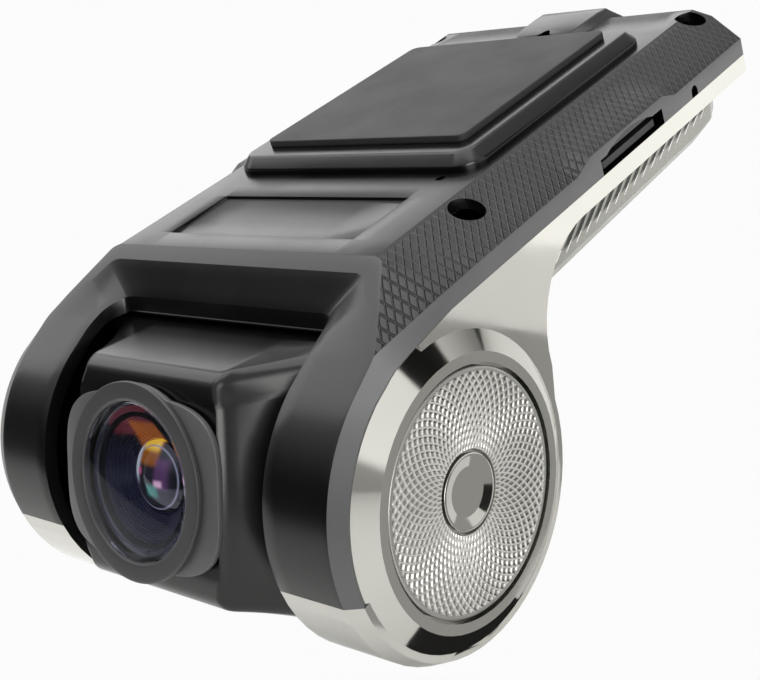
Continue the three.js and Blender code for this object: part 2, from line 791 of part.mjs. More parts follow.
function blockUnderBoard([x, y], width, length, height, drop = 0) {
  const top = boardUnder - drop;
  return box(x - width / 2, x + width / 2, y - length / 2, y + length / 2, top - height, top);
}

function capacitor([x, y]) {
  return turned('z', [
    [0, boardUnder],
    [3, boardUnder],
    [3, boardUnder - 5],
    [2.6, boardUnder - 5.6],
    [0, boardUnder - 5.6],
  ], [x, y, 0], tiny);
}

function powerInductor([x, y]) {
  const outline = roundedRectangle(3, y - 3, y + 3, 1.2, 2).map(([u, v]) => [u + x, v]);
  return prism('z', outline, boardUnder - 2.8, boardUnder);
}

// The ribbon leaves the drum's rear window and climbs to its connector on the board.
function flexRibbon() {
  const radii = [drumRadius - 1.3, cheekRadius + 0.8, cheekRadius + 5.2];
  const path = [
    ...radii.map((r) => [r * Math.cos(ribbonAngle), r * Math.sin(ribbonAngle)]),
    [boardFrontY - 3.1, boardUnder - 1.8],
    [ribbonPlugFront, boardUnder - 1],
  ];
  const half = 0.12;
  const outline = [
    ...path.map(([y, z]) => [y - half, z + half]),
    ...path.map(([y, z]) => [y + half, z - half]).reverse(),
  ];
  outline[path.length - 1][0] = ribbonPlugFront;
  outline[path.length][0] = ribbonPlugFront;
  return prism('x', outline, -4, 4);
}
const ribbonPlugFront = boardFrontY + 0.2;

function cableGrommet() {
  return turned('y', [
    [grommetBore, rearY - wall - 0.6],
    [grommetRadius, rearY - wall - 0.6],
    [grommetRadius, gateEndY],
    [grommetFlangeRadius, gateEndY],
    [grommetFlangeRadius - 0.3, gateEndY + grommetFlange],
    [grommetBore, gateEndY + grommetFlange],
    [grommetBore, rearY - wall - 0.6],
  ], [gateX, 0, grommetZ], 16);
}

function frictionRing() {
  const bore = pivotRadius + clearance;
  const outer = bore + ringWall;
  return turned('x', [
    [bore, cheekInnerX],
    [outer, cheekInnerX],
    [outer, cheekHollowX],
    [outer + ringFlangeWidth, cheekHollowX],
    [outer + ringFlangeWidth, cheekHollowX + ringFlange],
    [bore, cheekHollowX + ringFlange],
    [bore, cheekInnerX],
  ], undefined, small);
}

// ---------------------------------------------------------------- lens module
// These pieces are laid out with the lens looking along -Y; the group at the end tilts them.
const shellFrontFace = blockFront;
const plateBack = shellFrontFace + clearance;
const plateFront = plateBack + plateThickness;
const bezelBack = plateFront + clearance;
const bezelFront = bezelBack + bezelThickness;
const lensHole = glassRadius + 2 * clearance + 0.4;
const moduleScrewX = drumHalfLength - 4.25;
const moduleScrewZ = pivotRadius + pivotFlangeWidth + 1.2;
const moduleScrewPlaces = {
  module_screw_right: [moduleScrewX, moduleScrewZ],
  module_screw_left: [-moduleScrewX, -moduleScrewZ],
};
const moduleScrewSeat = -1;

// The front shell's outline at a width x: the block in the middle, the drum at the cheeks.
function moduleOutline(front, top, inset) {
  const drum = drumRadius - inset;
  const seam = shellSplit + clearance;
  const edge = THREE.MathUtils.radToDeg(Math.acos(seam / drum));
  const slopeStart = 66;
  const rise = arc(0, 0, drum, edge, slopeStart, 2).map(([d, z]) => [-d, z]);
  const upper = [...rise, [-(front - 0.9), top], [-front, top - 2.7]];
  return [...upper, ...upper.map(([y, z]) => [y, -z]).reverse()];
}

function moduleFrontShell() {
  const stations = (inset) => {
    const steps = [
      [drumHalfLength, 7.6, 12.2],
      [13.4, 10.2, 11.6],
      [11.2, 13.4, 11],
      [blockHalfWidth, blockFront, blockTop],
    ];
    const right = steps.map(([x, front, top]) => {
      const ring = moduleOutline(front - inset, top - inset, inset);
      return { at: x - inset * (x / drumHalfLength), ring };
    });
    const left = right.map(({ at, ring }) => ({ at: -at, ring }));
    return [...left, ...right.reverse()];
  };
  const inside = loft('x', stations(drumWall)).add(
    box(-drumHalfLength + drumWall, drumHalfLength - drumWall, -shellSplit - 1.6, 0, -11, 11),
  );
  const bosses = Object.values(moduleScrewPlaces).map(([x, z]) => {
    return rod('y', 2, -11, -shellSplit - clearance, [x, 0, z], tiny);
  });
  const outer = loft('x', stations(0));
  const held = union([outer.subtract(inside), ...bosses.map((boss) => boss.intersect(outer))]);
  const bores = Object.values(moduleScrewPlaces).map(([x, z]) => {
    return rod('y', screwShank + clearance, -9.2, 0, [x, 0, z], tiny);
  });
  return cut(held, rod('y', lensHole, -far, 0, undefined, small), ...bores);
}

function moduleRearShell() {
  const seam = -shellSplit;
  const drum = rod('x', drumRadius, -drumHalfLength, drumHalfLength, undefined, medium);
  const innerEnd = drumHalfLength - drumWall;
  const inner = rod('x', drumRadius - drumWall, -innerEnd, innerEnd, undefined, medium);
  const front = box(-far, far, -far, seam, -far, far);
  const bosses = Object.values(moduleScrewPlaces).map(([x, z]) => {
    return rod('y', 2.4, seam, 13, [x, 0, z], tiny);
  });
  const held = bosses.map((boss) => boss.intersect(drum));
  const bores = Object.values(moduleScrewPlaces).map(([x, z]) => {
    const shank = rod('y', screwShank + clearance, -far, far, [x, 0, z], tiny);
    return shank.add(rod('y', screwHeadRadius + clearance, moduleScrewSeat, far, [x, 0, z], tiny));
  });
  // The ribbon's window is long enough for the whole tilt.
  const window = prism('x', [[0, 0], ...arc(0, 0, 20, -4, 74, 8)], -5, 5);
  const pins = onBothSides(rod('x', pivotRadius + clearance, 5, far, undefined, small));
  return cut(union([drum.subtract(inner), ...held]), front, window, pins, ...bores);
}

function facePlate() {
  const corner = 2.2;
  const straight = plateHalfHeight - corner;
  const bulge = (z) => {
    const share = 1 - (z / straight) ** 2;
    return plateEndHalfWidth + (plateHalfWidth - plateEndHalfWidth) * share;
  };
  const steps = 8;
  const side = Array.from({ length: steps + 1 }, (_, i) => {
    const z = -straight + (2 * straight * i) / steps;
    return [bulge(z), z];
  });
  const topRight = arc(plateEndHalfWidth - corner, straight, corner, 0, 90, 3).slice(1);
  const half = [...side, ...topRight];
  const bottomRight = topRight.map(([x, z]) => [x, -z]).reverse();
  const right = [...bottomRight, ...half];
  const outline = [...right, ...right.map(([x, z]) => [-x, z]).reverse()];
  const plate = prism('y', outline, -plateFront, -plateBack);
  const underBezel = rod('y', bezelRadius - clearance, -plateFront, -plateBack, undefined, small);
  return plate.add(underBezel).subtract(rod('y', lensHole, -far, 0, undefined, small));
}

function lensBezel() {
  return turned('y', [
    [bezelInner, -bezelFront],
    [bezelRadius, -bezelFront],
    [bezelRadius, -bezelBack],
    [lensHole - clearance, -bezelBack],
    [lensHole - clearance, -shellFrontFace],
    [bezelInner, -shellFrontFace],
    [bezelInner, -bezelFront],
  ], undefined, medium);
}

// A lens element: its front bulges by `crown` over a straight edge.
function element(radius, back, edge, crown, hollow) {
  const steps = 3;
  const dome = Array.from({ length: steps + 1 }, (_, i) => {
    const share = 1 - i / steps;
    return [radius * share, -(back + edge + crown * (1 - share ** 2))];
  });
  const under = [[0, -(back + hollow)], [radius * 0.6, -(back + hollow * 0.6)], [radius, -back]];
  return turned('y', [...under, ...dome], undefined, small);
}

const glassBack = bezelFront - glassEdge - 0.1;

function frontGlass() {
  return element(glassRadius, glassBack, glassEdge, glassCrown, 0.4);
}

function lensBarrel() {
  const outer = barrelBore + barrelWall;
  return turned('y', [
    [barrelBore, -(glassBack - clearance)],
    [outer, -(glassBack - clearance)],
    [outer, -barrelFoot],
    [3.6, -barrelFoot],
    [3.6, -(barrelFoot + 1.4)],
    [4.6, -(barrelFoot + 1.4)],
    [4.6, -(barrelFoot + 4.8)],
    [barrelBore, -(barrelFoot + 4.8)],
    [barrelBore, -(glassBack - clearance)],
  ], undefined, small);
}

const middleLensBack = barrelFoot + 4.8 + clearance;

function retainingRing() {
  const from = middleLensBack + 2 + clearance;
  return tube('y', barrelBore - clearance, 4.3, -(from + 1), -from, undefined, small);
}

function lensHolder() {
  const half = sensorBoardSize / 2;
  const base = box(-half, half, -(barrelFoot - clearance), -2.7, -half, half);
  const skirt = box(-half, half, -2.8, -boardThickness / 2, -half, half);
  const room = box(1 - half, half - 1, -2.75, 0, 1 - half, half - 1);
  return cut(base.add(skirt), room, rod('y', 3.4, -far, 0, undefined, small));
}

function sensorBoard() {
  const half = sensorBoardSize / 2;
  return box(-half, half, clearance - boardThickness / 2, clearance + boardThickness / 2, -half, half);
}

function pivotPin() {
  const sideWall = drumHalfLength - drumWall - 0.05;
  const reach = cheekHollowX + ringFlange + 0.5;
  return turned('x', [
    [pivotBore, sideWall - pivotFlange],
    [pivotRadius + pivotFlangeWidth, sideWall - pivotFlange],
    [pivotRadius + pivotFlangeWidth, sideWall - 0.1],
    [pivotRadius, sideWall - 0.1],
    [pivotRadius, reach],
    [pivotBore, reach],
    [pivotBore, sideWall - pivotFlange],
  ], undefined, small);
}

function moduleScrew([x, z]) {
  return turned('y', [
    [0, moduleScrewSeat + screwHead],
    [screwHeadRadius, moduleScrewSeat + screwHead],
    [screwHeadRadius, moduleScrewSeat],
    [screwShank, moduleScrewSeat],
    [screwShank, -8.6],
    [0, -8.6],
  ], [x, 0, z], tiny);
}

// ---------------------------------------------------------------- the assembly
const finishes = {
  blackMatt: [0x35353a, 0.55, 0],
  blackGloss: [0x222226, 0.25, 0],
  silver: [0xc9c8c0, 0.25, 0.9],
  pewter: [0x8f8f8c, 0.4, 0.6],
  foam: [0x4a4a4c, 0.9, 0],
  board: [0x1d4a33, 0.5, 0.1],
  chip: [0x1b1b1d, 0.4, 0],
  steel: [0xa9abad, 0.3, 1],
  rubber: [0x202022, 0.85, 0],
  glass: [0x1a2340, 0.05, 0],
  ribbon: [0xb8813a, 0.5, 0.1],
  ivory: [0xd8d2c0, 0.5, 0],
};

function node(name, part, finish) {
  const source = part.getMesh();
  const geometry = new THREE.BufferGeometry();
  geometry.setAttribute('position', new THREE.Float32BufferAttribute(source.vertProperties, 3));
  geometry.setIndex(new THREE.Uint32BufferAttribute(source.triVerts, 1));
  geometry.computeVertexNormals();
  const [color, roughness, metalness] = finishes[finish];
  const material = new THREE.MeshStandardMaterial({ color, roughness, metalness });
  const mesh = new THREE.Mesh(geometry, material);
  mesh.name = name;
  return mesh;
}

const housing = new THREE.Group();
housing.add(
  node('upper_shell', upperShell(), 'blackMatt'),
  node('lower_shell', lowerShell(), 'silver'),
  node('belly_cover', bellyCover(), 'pewter'),
  node('mount_bracket', mountBracket(), 'blackMatt'),
  node('adhesive_pad', adhesivePad(), 'foam'),
  node('dial_insert_right', dialInsert(), 'pewter'),
  node('dial_insert_left', mirrored(dialInsert()), 'pewter'),
  node('hub_cap_right', hubCap(), 'silver'),
  node('hub_cap_left', mirrored(hubCap()), 'silver'),
  node('friction_ring_right', frictionRing(), 'rubber'),
  node('friction_ring_left', mirrored(frictionRing()), 'rubber'),
  node('main_board', mainBoard(), 'board'),
  node('card_socket', cardSocket(), 'steel'),
  node('micro_sd_card', microSdCard(), 'chip'),
  node('processor_chip', blockUnderBoard(processorPlace, 13, 13, processorHeight), 'chip'),
  node('thermal_pad', blockUnderBoard(processorPlace, 12, 12, padHeight, processorHeight), 'ivory'),
  node('heat_sink', heatSink(), 'steel'),
  node('memory_chip', blockUnderBoard([-3, boardFrontY + 7.5], 9, 7, 1), 'chip'),
  node('power_inductor', powerInductor([-13.4, boardRearY - 7.8]), 'chip'),
  node('capacitor_right', capacitor([9, boardRearY - 6.9]), 'steel'),
  node('capacitor_left', capacitor([-7, boardRearY - 6.9]), 'steel'),
  node('cable_header', blockUnderBoard([1, boardRearY - 5.7], 9, 3.2, 4), 'ivory'),
  node('ribbon_connector', blockUnderBoard([0, ribbonPlugFront + 1.7], 10, 3.4, 1.6), 'ivory'),
  node('flex_ribbon', flexRibbon(), 'ribbon'),
  node('microphone', rod('z', 2, deckUnder - 1.8, deckUnder, [...microphonePlace, 0], tiny), 'steel'),
  node('reset_switch', blockUnderBoard([switchX - 1.9, resetY], 3.8, 3.2, 2), 'steel'),
  node(
    'reset_plunger',
    rod('x', resetRadius, switchX + clearance, resetTipX, [0, resetY, resetZ], tiny),
    'ivory',
  ),
  node('cable_grommet', cableGrommet(), 'rubber'),
);
for (const [name, place] of Object.entries(screwPlaces)) {
  housing.add(node(name, screw(place, screwHeadTop, screwHeadTop - shellScrewTip, true), 'steel'));
}
for (const [name, place] of Object.entries(boardScrewPlaces)) {
  housing.add(node(name, screw(place, boardUnder - screwHead, boardScrewLength, false), 'steel'));
}

const lensModule = new THREE.Group();
lensModule.rotation.x = -restTilt;
lensModule.add(
  node('module_front_shell', moduleFrontShell(), 'blackMatt'),
  node('module_rear_shell', moduleRearShell(), 'blackMatt'),
  node('face_plate', facePlate(), 'blackGloss'),
  node('lens_bezel', lensBezel(), 'blackGloss'),
  node('front_glass', frontGlass(), 'glass'),
  node('lens_barrel', lensBarrel(), 'blackMatt'),
  node('retaining_ring', retainingRing(), 'blackGloss'),
  node('middle_lens', element(barrelBore - clearance, middleLensBack, 0.8, 1.2, 0), 'glass'),
  node('rear_lens', element(4.3, barrelFoot + 1.4 + clearance, 1.2, 1.2, 0), 'glass'),
  node('lens_holder', lensHolder(), 'blackMatt'),
  node('image_sensor', box(-4, 4, -1.5, -0.5, -3.4, 3.4), 'chip'),
  node('ir_filter', box(-3.4, 3.4, -2.3, -1.8, -3.2, 3.2), 'glass'),
  node('sensor_board', sensorBoard(), 'board'),
  node('sensor_connector', box(-5, 5, 1.1, 2.7, -6, -2.6), 'ivory'),
  node('pivot_pin_right', pivotPin(), 'steel'),
  node('pivot_pin_left', mirrored(pivotPin()), 'steel'),
);
for (const [name, place] of Object.entries(moduleScrewPlaces)) {
  lensModule.add(node(name, moduleScrew(place), 'steel'));
}

// The origin is the middle of the adhesive pad's upper face.
const camera = new THREE.Group();
camera.add(housing, lensModule);
camera.position.set(0, -(padFrontY + padRearY) / 2, -(bracketTop + padThickness));

const object = new THREE.Group();
object.add(camera);
export default object;
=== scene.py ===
# %% [markdown]
# # Windscreen dash camera
#
# The camera hangs from the windscreen by the foam pad on its deck. A lens module tilts between two
# round cheeks at the front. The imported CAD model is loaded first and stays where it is: it says
# where each piece goes and which body carries it, and the pieces made below are drawn around it.

import json
import math

import bmesh
import bpy
import numpy as np
from mathutils import Matrix, Vector

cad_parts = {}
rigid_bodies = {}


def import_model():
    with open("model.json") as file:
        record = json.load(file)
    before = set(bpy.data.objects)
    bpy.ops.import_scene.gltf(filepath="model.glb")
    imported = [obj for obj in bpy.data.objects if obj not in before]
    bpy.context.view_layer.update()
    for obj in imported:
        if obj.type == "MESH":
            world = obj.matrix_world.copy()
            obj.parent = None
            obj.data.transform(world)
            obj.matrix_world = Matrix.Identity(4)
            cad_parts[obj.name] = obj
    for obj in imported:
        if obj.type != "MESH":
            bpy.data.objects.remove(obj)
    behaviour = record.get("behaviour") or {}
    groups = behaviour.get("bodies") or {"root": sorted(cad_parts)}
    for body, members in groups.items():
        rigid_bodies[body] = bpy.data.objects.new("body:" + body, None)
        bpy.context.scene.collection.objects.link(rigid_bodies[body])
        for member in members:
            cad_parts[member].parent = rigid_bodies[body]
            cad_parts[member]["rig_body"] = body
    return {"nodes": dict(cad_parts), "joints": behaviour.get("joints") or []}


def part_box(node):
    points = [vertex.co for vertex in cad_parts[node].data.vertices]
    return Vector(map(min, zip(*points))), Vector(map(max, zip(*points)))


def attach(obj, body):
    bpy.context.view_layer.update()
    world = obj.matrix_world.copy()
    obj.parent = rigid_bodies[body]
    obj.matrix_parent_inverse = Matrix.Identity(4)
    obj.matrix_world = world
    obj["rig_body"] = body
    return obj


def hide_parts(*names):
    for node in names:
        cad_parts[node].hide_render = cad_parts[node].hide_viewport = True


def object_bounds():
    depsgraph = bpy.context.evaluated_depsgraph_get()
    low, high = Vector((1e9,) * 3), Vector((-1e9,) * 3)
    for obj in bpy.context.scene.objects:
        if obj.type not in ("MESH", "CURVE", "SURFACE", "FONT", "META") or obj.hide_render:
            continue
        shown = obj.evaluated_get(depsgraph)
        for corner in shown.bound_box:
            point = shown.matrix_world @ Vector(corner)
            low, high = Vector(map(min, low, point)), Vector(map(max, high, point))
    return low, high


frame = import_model()
cad_box = [list(corner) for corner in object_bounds()]
print("box in mm:", [[round(1000 * v, 2) for v in corner] for corner in cad_box])

# %% [markdown]
# ## Places
#
# Sizes are easiest to think about in millimetres from the lens module's pivot: +X is the card
# slot's side, -Y is the way the camera looks and +Z is up. The tilt joint says where the pivot
# is. Pieces of the module are laid out with the lens level, then turned up by the resting tilt.

# %% from millimetres at the pivot to the frame
MM = 0.001
REST_TILT = math.radians(25.2)
tilt_joint = next(joint for joint in frame["joints"] if joint["name"] == "lens_tilt")
pivot = np.array(tilt_joint["pos_m"])


def on_housing(points):
    """Millimetres from the pivot become metres in the frame: p * 0.001 + pivot."""
    return np.asarray(points, float) * MM + pivot


def on_module(points):
    """The same, after a turn by the tilt a about X: y' = y cos a + z sin a and
    z' = z cos a - y sin a."""
    x, y, z = np.moveaxis(np.asarray(points, float), -1, 0)
    c, s = math.cos(REST_TILT), math.sin(REST_TILT)
    return on_housing(np.stack([x, y * c + z * s, z * c - y * s], axis=-1))


def linked(name, data):
    """A new object in the scene for a mesh, a light or the camera."""
    made = bpy.data.objects.new(name, data)
    bpy.context.scene.collection.objects.link(made)
    return made


def box_mm(node):
    """The lower and upper corner of a CAD node's box, in millimetres from the pivot."""
    return [1000 * (np.array(corner) - pivot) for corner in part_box(node)]


print("pivot in mm:", [round(1000 * v, 2) for v in pivot])

# %% [markdown]
# ## Tools for finishes
#
# A finish is a Principled shader whose roughness, colour and bumps change over the surface. The
# effects that several finishes share are node groups: moulded grain, and faint wipe marks.

# %% node helpers and shared effects


def add(tree, kind, settings=None, **inputs):
    """Adds a node; settings are its own values, inputs are values or sockets to link, by name
    with _ for a space, or _0, _1... by number."""
    node = tree.nodes.new(kind)
    for key, value in (settings or {}).items():
        setattr(node, key, value)
    for key, value in inputs.items():
        by_number = key[0] == "_" and key[1:].isdigit()
        socket = node.inputs[int(key[1:]) if by_number else key.replace("_", " ")]
        if isinstance(value, bpy.types.NodeSocket):
            tree.links.new(value, socket)
        else:
            socket.default_value = value
    return node


def math_node(tree, operation, a, b=0.0):
    """One step of arithmetic on one or two values."""
    node = add(tree, "ShaderNodeMath", {"operation": operation}, _0=a, _1=b)
    return node.outputs[0]


def group(name, inputs, outputs):
    """An empty node group with float sockets: inputs are (name, default) pairs."""
    tree = bpy.data.node_groups.new(name, "ShaderNodeTree")
    for label, default in inputs:
        socket = tree.interface.new_socket(label, in_out="INPUT", socket_type="NodeSocketFloat")
        socket.default_value = default
    for label in outputs:
        tree.interface.new_socket(label, in_out="OUTPUT", socket_type="NodeSocketFloat")
    return tree, tree.nodes.new("NodeGroupInput").outputs, tree.nodes.new("NodeGroupOutput").inputs


def object_place(tree):
    """Object coordinates in millimetres."""
    place = tree.nodes.new("ShaderNodeTexCoord").outputs["Object"]
    scaled = add(tree, "ShaderNodeVectorMath", {"operation": "SCALE"}, _0=place)
    scaled.inputs["Scale"].default_value = 1000
    return scaled.outputs[0]


def noise(tree, place, scale, detail=2.0):
    """Soft random patches from 0 to 1, about `scale` of them to a millimetre."""
    return add(tree, "ShaderNodeTexNoise", Vector=place, Scale=scale, Detail=detail).outputs[0]


def soft_step(tree, value, start, end):
    """Smooth rise from 0 at start to 1 at end; it falls where start is the larger."""
    settings = {"interpolation_type": "SMOOTHSTEP"}
    return add(tree, "ShaderNodeMapRange", settings, _0=value, _1=start, _2=end).outputs[0]


def product(tree, first, *others):
    """All the values multiplied together."""
    for value in others:
        first = math_node(tree, "MULTIPLY", first, value)
    return first


def mix_colour(tree, share, first, second):
    """The first colour turning into the second; each is three numbers or a socket."""
    a, b = [c if isinstance(c, bpy.types.NodeSocket) else (*c, 1) for c in (first, second)]
    return add(tree, "ShaderNodeMix", {"data_type": "RGBA"}, _0=share, _6=a, _7=b).outputs[2]


# Moulded grain: the fine stipple of a spark-eroded mould.
grain, given, out = group("moulded_grain", [("Scale", 5.0), ("Coarse", 0.25)], ["Height"])
spot = object_place(grain)
fine = noise(grain, spot, given["Scale"], 3.0)
coarse_scale = math_node(grain, "MULTIPLY", given["Scale"], 0.3)
coarse = noise(grain, spot, coarse_scale, 2.0)
share_of_coarse = math_node(grain, "MULTIPLY", coarse, given["Coarse"])
grain.links.new(math_node(grain, "ADD", fine, share_of_coarse), out["Height"])

# Wipe marks: broad faint patches where a hand has polished or greased the surface.
wipes, given, out = group("wipe_marks", [("Scale", 0.12), ("Low", 0.3), ("High", 0.4)], ["Value"])
patch = noise(wipes, object_place(wipes), given["Scale"], 4.0)
spread = add(wipes, "ShaderNodeMapRange", Value=patch, From_Min=0.3, From_Max=0.7)
wipes.links.new(given["Low"], spread.inputs["To Min"])
wipes.links.new(given["High"], spread.inputs["To Max"])
wipes.links.new(spread.outputs[0], out["Value"])


def finish(name, **constants):
    """A new material with its Principled shader; constants are set on the shader's sockets."""
    material = bpy.data.materials.new(name)
    material.use_nodes = True
    tree = material.node_tree
    shader = tree.nodes["Principled BSDF"]
    for key, value in constants.items():
        shader.inputs[key.replace("_", " ")].default_value = value
    return material, tree, shader


def placed(tree, kind, **inputs):
    """A shared effect placed in a material with its own values."""
    return add(tree, "ShaderNodeGroup", {"node_tree": kind}, **inputs).outputs[0]


def tinted(tree, shader, low, high, scale=0.15, detail=3.0):
    """Base colour that drifts between two close colours."""
    patch = noise(tree, object_place(tree), scale, detail)
    tree.links.new(mix_colour(tree, patch, low, high), shader.inputs["Base Color"])


def worn(tree, shader, scale, low, high):
    """Roughness that drifts between two values, in wipe marks."""
    marks = placed(tree, wipes, Scale=scale, Low=low, High=high)
    tree.links.new(marks, shader.inputs["Roughness"])


def bumped(tree, shader, height, distance, strength=1.0):
    """Heights in millimetres times `distance` feed the shader's normal."""
    bump = add(tree, "ShaderNodeBump", Height=height, Distance=distance * MM, Strength=strength)
    tree.links.new(bump.outputs[0], shader.inputs["Normal"])


def simple_finish(name, low, high, rough, grain_scale, depth, wipe=0.12, **constants):
    """The usual finish: drifting colour, patchy roughness and a grain of `depth` millimetres."""
    material, tree, shader = finish(name, **constants)
    tinted(tree, shader, low, high)
    worn(tree, shader, wipe, *rough)
    bumped(tree, shader, placed(tree, grain, Scale=grain_scale), depth)
    return material


print("groups:", [g.name for g in bpy.data.node_groups])

# %% [markdown]
# ## Camera
#
# A long lens close to the object, seen from the front right and above. The camera is also rolled,
# so the deck climbs towards the upper right. A camera looks along its own -Z, so its axes are
# built from the viewing direction, then turned in the picture plane by the roll.

# %% camera
AZIMUTH = math.radians(47.10)
ELEVATION = math.radians(25.35)
ROLL = math.radians(18.63)
camera_place = pivot + np.array([92.94, -67.11, 61.83]) * MM

back = np.array(
    [
        math.sin(AZIMUTH) * math.cos(ELEVATION),
        -math.cos(AZIMUTH) * math.cos(ELEVATION),
        math.sin(ELEVATION),
    ]
)
level_right = np.cross(-back, [0, 0, 1])
level_right /= np.linalg.norm(level_right)
level_up = np.cross(level_right, -back)
right = math.cos(ROLL) * level_right - math.sin(ROLL) * level_up
up = math.sin(ROLL) * level_right + math.cos(ROLL) * level_up

camera_data = bpy.data.cameras.new("camera")
camera_data.lens = 60.85
camera_data.sensor_width = 36
camera_data.clip_start = 0.005
camera_data.clip_end = 20
camera = linked("camera", camera_data)
turn = np.eye(4)
turn[:3, 0], turn[:3, 1], turn[:3, 2], turn[:3, 3] = right, up, back, camera_place
camera.matrix_world = Matrix(turn.tolist())
bpy.context.scene.camera = camera
print("camera at", [round(v, 3) for v in camera_place], "m")

# %% [markdown]
# ## Light and floor
#
# Bright plating shows its surroundings more than its own colour, so the studio matters. A large
# soft light hangs overhead for the deck, one stands on the left for the black cheeks and a low one
# stands behind on the left. Round the horizon the sky is a ramp of bright and dark panels, and
# sheets on the floor add more of them from below: they give the bevels their crisp dark segments.
# Rays from the camera see a plain pale sky and floor instead.

# %% floor, soft lights and sky
FLOOR_GAP = 0.022
sky_panels = [  # share of a turn round the horizon from +X, brightness there
    (0.000, 1.25), (0.079, 1.15), (0.081, 0.01), (0.133, 0.01), (0.135, 0.75), (0.180, 0.30),
    (0.186, 0.30), (0.187, 0.01), (0.195, 0.01), (0.196, 0.42), (0.300, 0.45), (0.420, 0.50),
    (0.540, 0.40), (0.580, 0.03), (0.845, 0.02), (0.875, 5.50), (0.935, 5.50), (0.945, 0.10),
    (0.960, 0.30), (0.990, 0.42), (0.993, 1.25),
]


def soft_light(name, place, aim, size, power):
    """A rectangular light: its -Z axis is turned along the line from its place to its aim."""
    light = bpy.data.lights.new(name, "AREA")
    light.shape = "RECTANGLE"
    light.size, light.size_y = size
    light.energy = power
    holder = linked(name, light)
    holder.location = place
    holder.rotation_euler = (Vector(aim) - Vector(place)).to_track_quat("-Z", "Y").to_euler()


soft_light("light_over", (-0.05, 0.10, 0.80), (0, 0, 0), (0.9, 0.9), 5.2)
soft_light("light_left", (-0.52, 0.02, 0.44), (0, -0.03, -0.02), (0.45, 0.45), 0.9)
soft_light("light_rear", (-0.45, 0.52, 0.20), (0, 0, -0.01), (0.6, 0.26), 0.64)

world = bpy.data.worlds.new("studio")
world.use_nodes = True
bpy.context.scene.world = world
sky = world.node_tree
sky.nodes.clear()
direction = add(sky, "ShaderNodeTexCoord").outputs["Generated"]
parts = add(sky, "ShaderNodeSeparateXYZ", _0=direction).outputs
angle = math_node(sky, "ARCTAN2", parts["Y"], parts["X"])
share = add(sky, "ShaderNodeMapRange", _0=angle, _1=-math.pi, _2=math.pi, _3=-0.5, _4=0.5)
panels = add(sky, "ShaderNodeValToRGB", _0=math_node(sky, "FRACT", share.outputs[0]))
ramp = panels.color_ramp.elements
ramp.remove(ramp[1])
for k, (place, brightness) in enumerate(sky_panels):
    element = ramp[0] if k == 0 else ramp.new(place)
    element.color = (brightness, brightness, brightness * 0.985, 1)
overhead = soft_step(sky, parts["Z"], 0.3, 0.85)
cover = mix_colour(sky, overhead, panels.outputs[0], (0.8, 0.8, 0.8))
studio = add(sky, "ShaderNodeBackground", _0=cover, _1=1.0).outputs[0]
plain = add(sky, "ShaderNodeBackground", _0=(0.97, 0.97, 0.97, 1), _1=1.0).outputs[0]
from_camera = add(sky, "ShaderNodeLightPath").outputs["Is Camera Ray"]
both = add(sky, "ShaderNodeMixShader", _0=from_camera, _1=studio, _2=plain)
add(sky, "ShaderNodeOutputWorld", _0=both.outputs[0])

bpy.ops.mesh.primitive_plane_add(size=6, location=(0, 0, cad_box[0][2] - FLOOR_GAP))
floor = bpy.context.object
floor.name = "floor"
pale, tree, shader = finish("pale_floor", Base_Color=(0.72, 0.72, 0.71, 1), Roughness=0.6)
sheet = add(tree, "ShaderNodeEmission", Color=(0.97, 0.97, 0.97, 1)).outputs[0]
from_camera = add(tree, "ShaderNodeLightPath").outputs["Is Camera Ray"]
upper_side = add(tree, "ShaderNodeMixShader", _0=from_camera, _1=shader.outputs[0], _2=sheet)
from_below = add(tree, "ShaderNodeNewGeometry").outputs["Backfacing"]
clear = add(tree, "ShaderNodeBsdfTransparent").outputs[0]
one_sided = add(tree, "ShaderNodeMixShader", _0=from_below, _1=upper_side.outputs[0], _2=clear)
tree.links.new(one_sided.outputs[0], tree.nodes["Material Output"].inputs["Surface"])
floor.data.materials.append(pale)


def floor_card(name, corners, brightness, layer):
    """A sheet on the floor that only mirror-like surfaces see, to shade a segment of the plating.
    Its corners are millimetres from the pivot; the sheet lies `layer` millimetres above the floor."""
    mesh = bpy.data.meshes.new(name)
    outline = on_housing([(x, y, 0) for x, y in corners])
    outline[:, 2] = floor.location.z + layer * MM
    mesh.from_pydata(outline, [], [tuple(range(len(corners)))])
    paint, _, _ = finish(
        name,
        Base_Color=(0.01, 0.01, 0.01, 1),
        Specular_IOR_Level=0,
        Emission_Color=(1, 1, 0.98, 1),
        Emission_Strength=brightness,
    )
    mesh.materials.append(paint)
    card = linked(name, mesh)
    card.visible_camera = card.visible_shadow = card.visible_diffuse = False


floor_card("card_under", [(20, -20), (45, -10), (42, 22), (15, 18)], 0.01, 1)
floor_card("card_beside", [(46, 14), (88, 10), (118, 50), (106, 84), (60, 80)], 0.40, 1)
floor_card("card_right", [(92, 8), (100, 40), (200, 104), (205, 52)], 0.01, 2)
floor_card("card_behind", [(75, 112), (135, 112), (150, 260), (75, 260)], 1.5, 1)

bpy.context.scene.view_settings.view_transform = "Standard"
print("floor at z =", round(floor.location.z, 4), "m")

# %% [markdown]
# ## Tools for shapes
#
# Each piece is an outline or a profile carried along a path. Corners of real mouldings are never
# sharp, so `eased` swaps each corner for a short curve. A grid of points becomes a mesh with one
# face for each cell, then doubled points at seams and poles are merged.

# %% outlines and grids


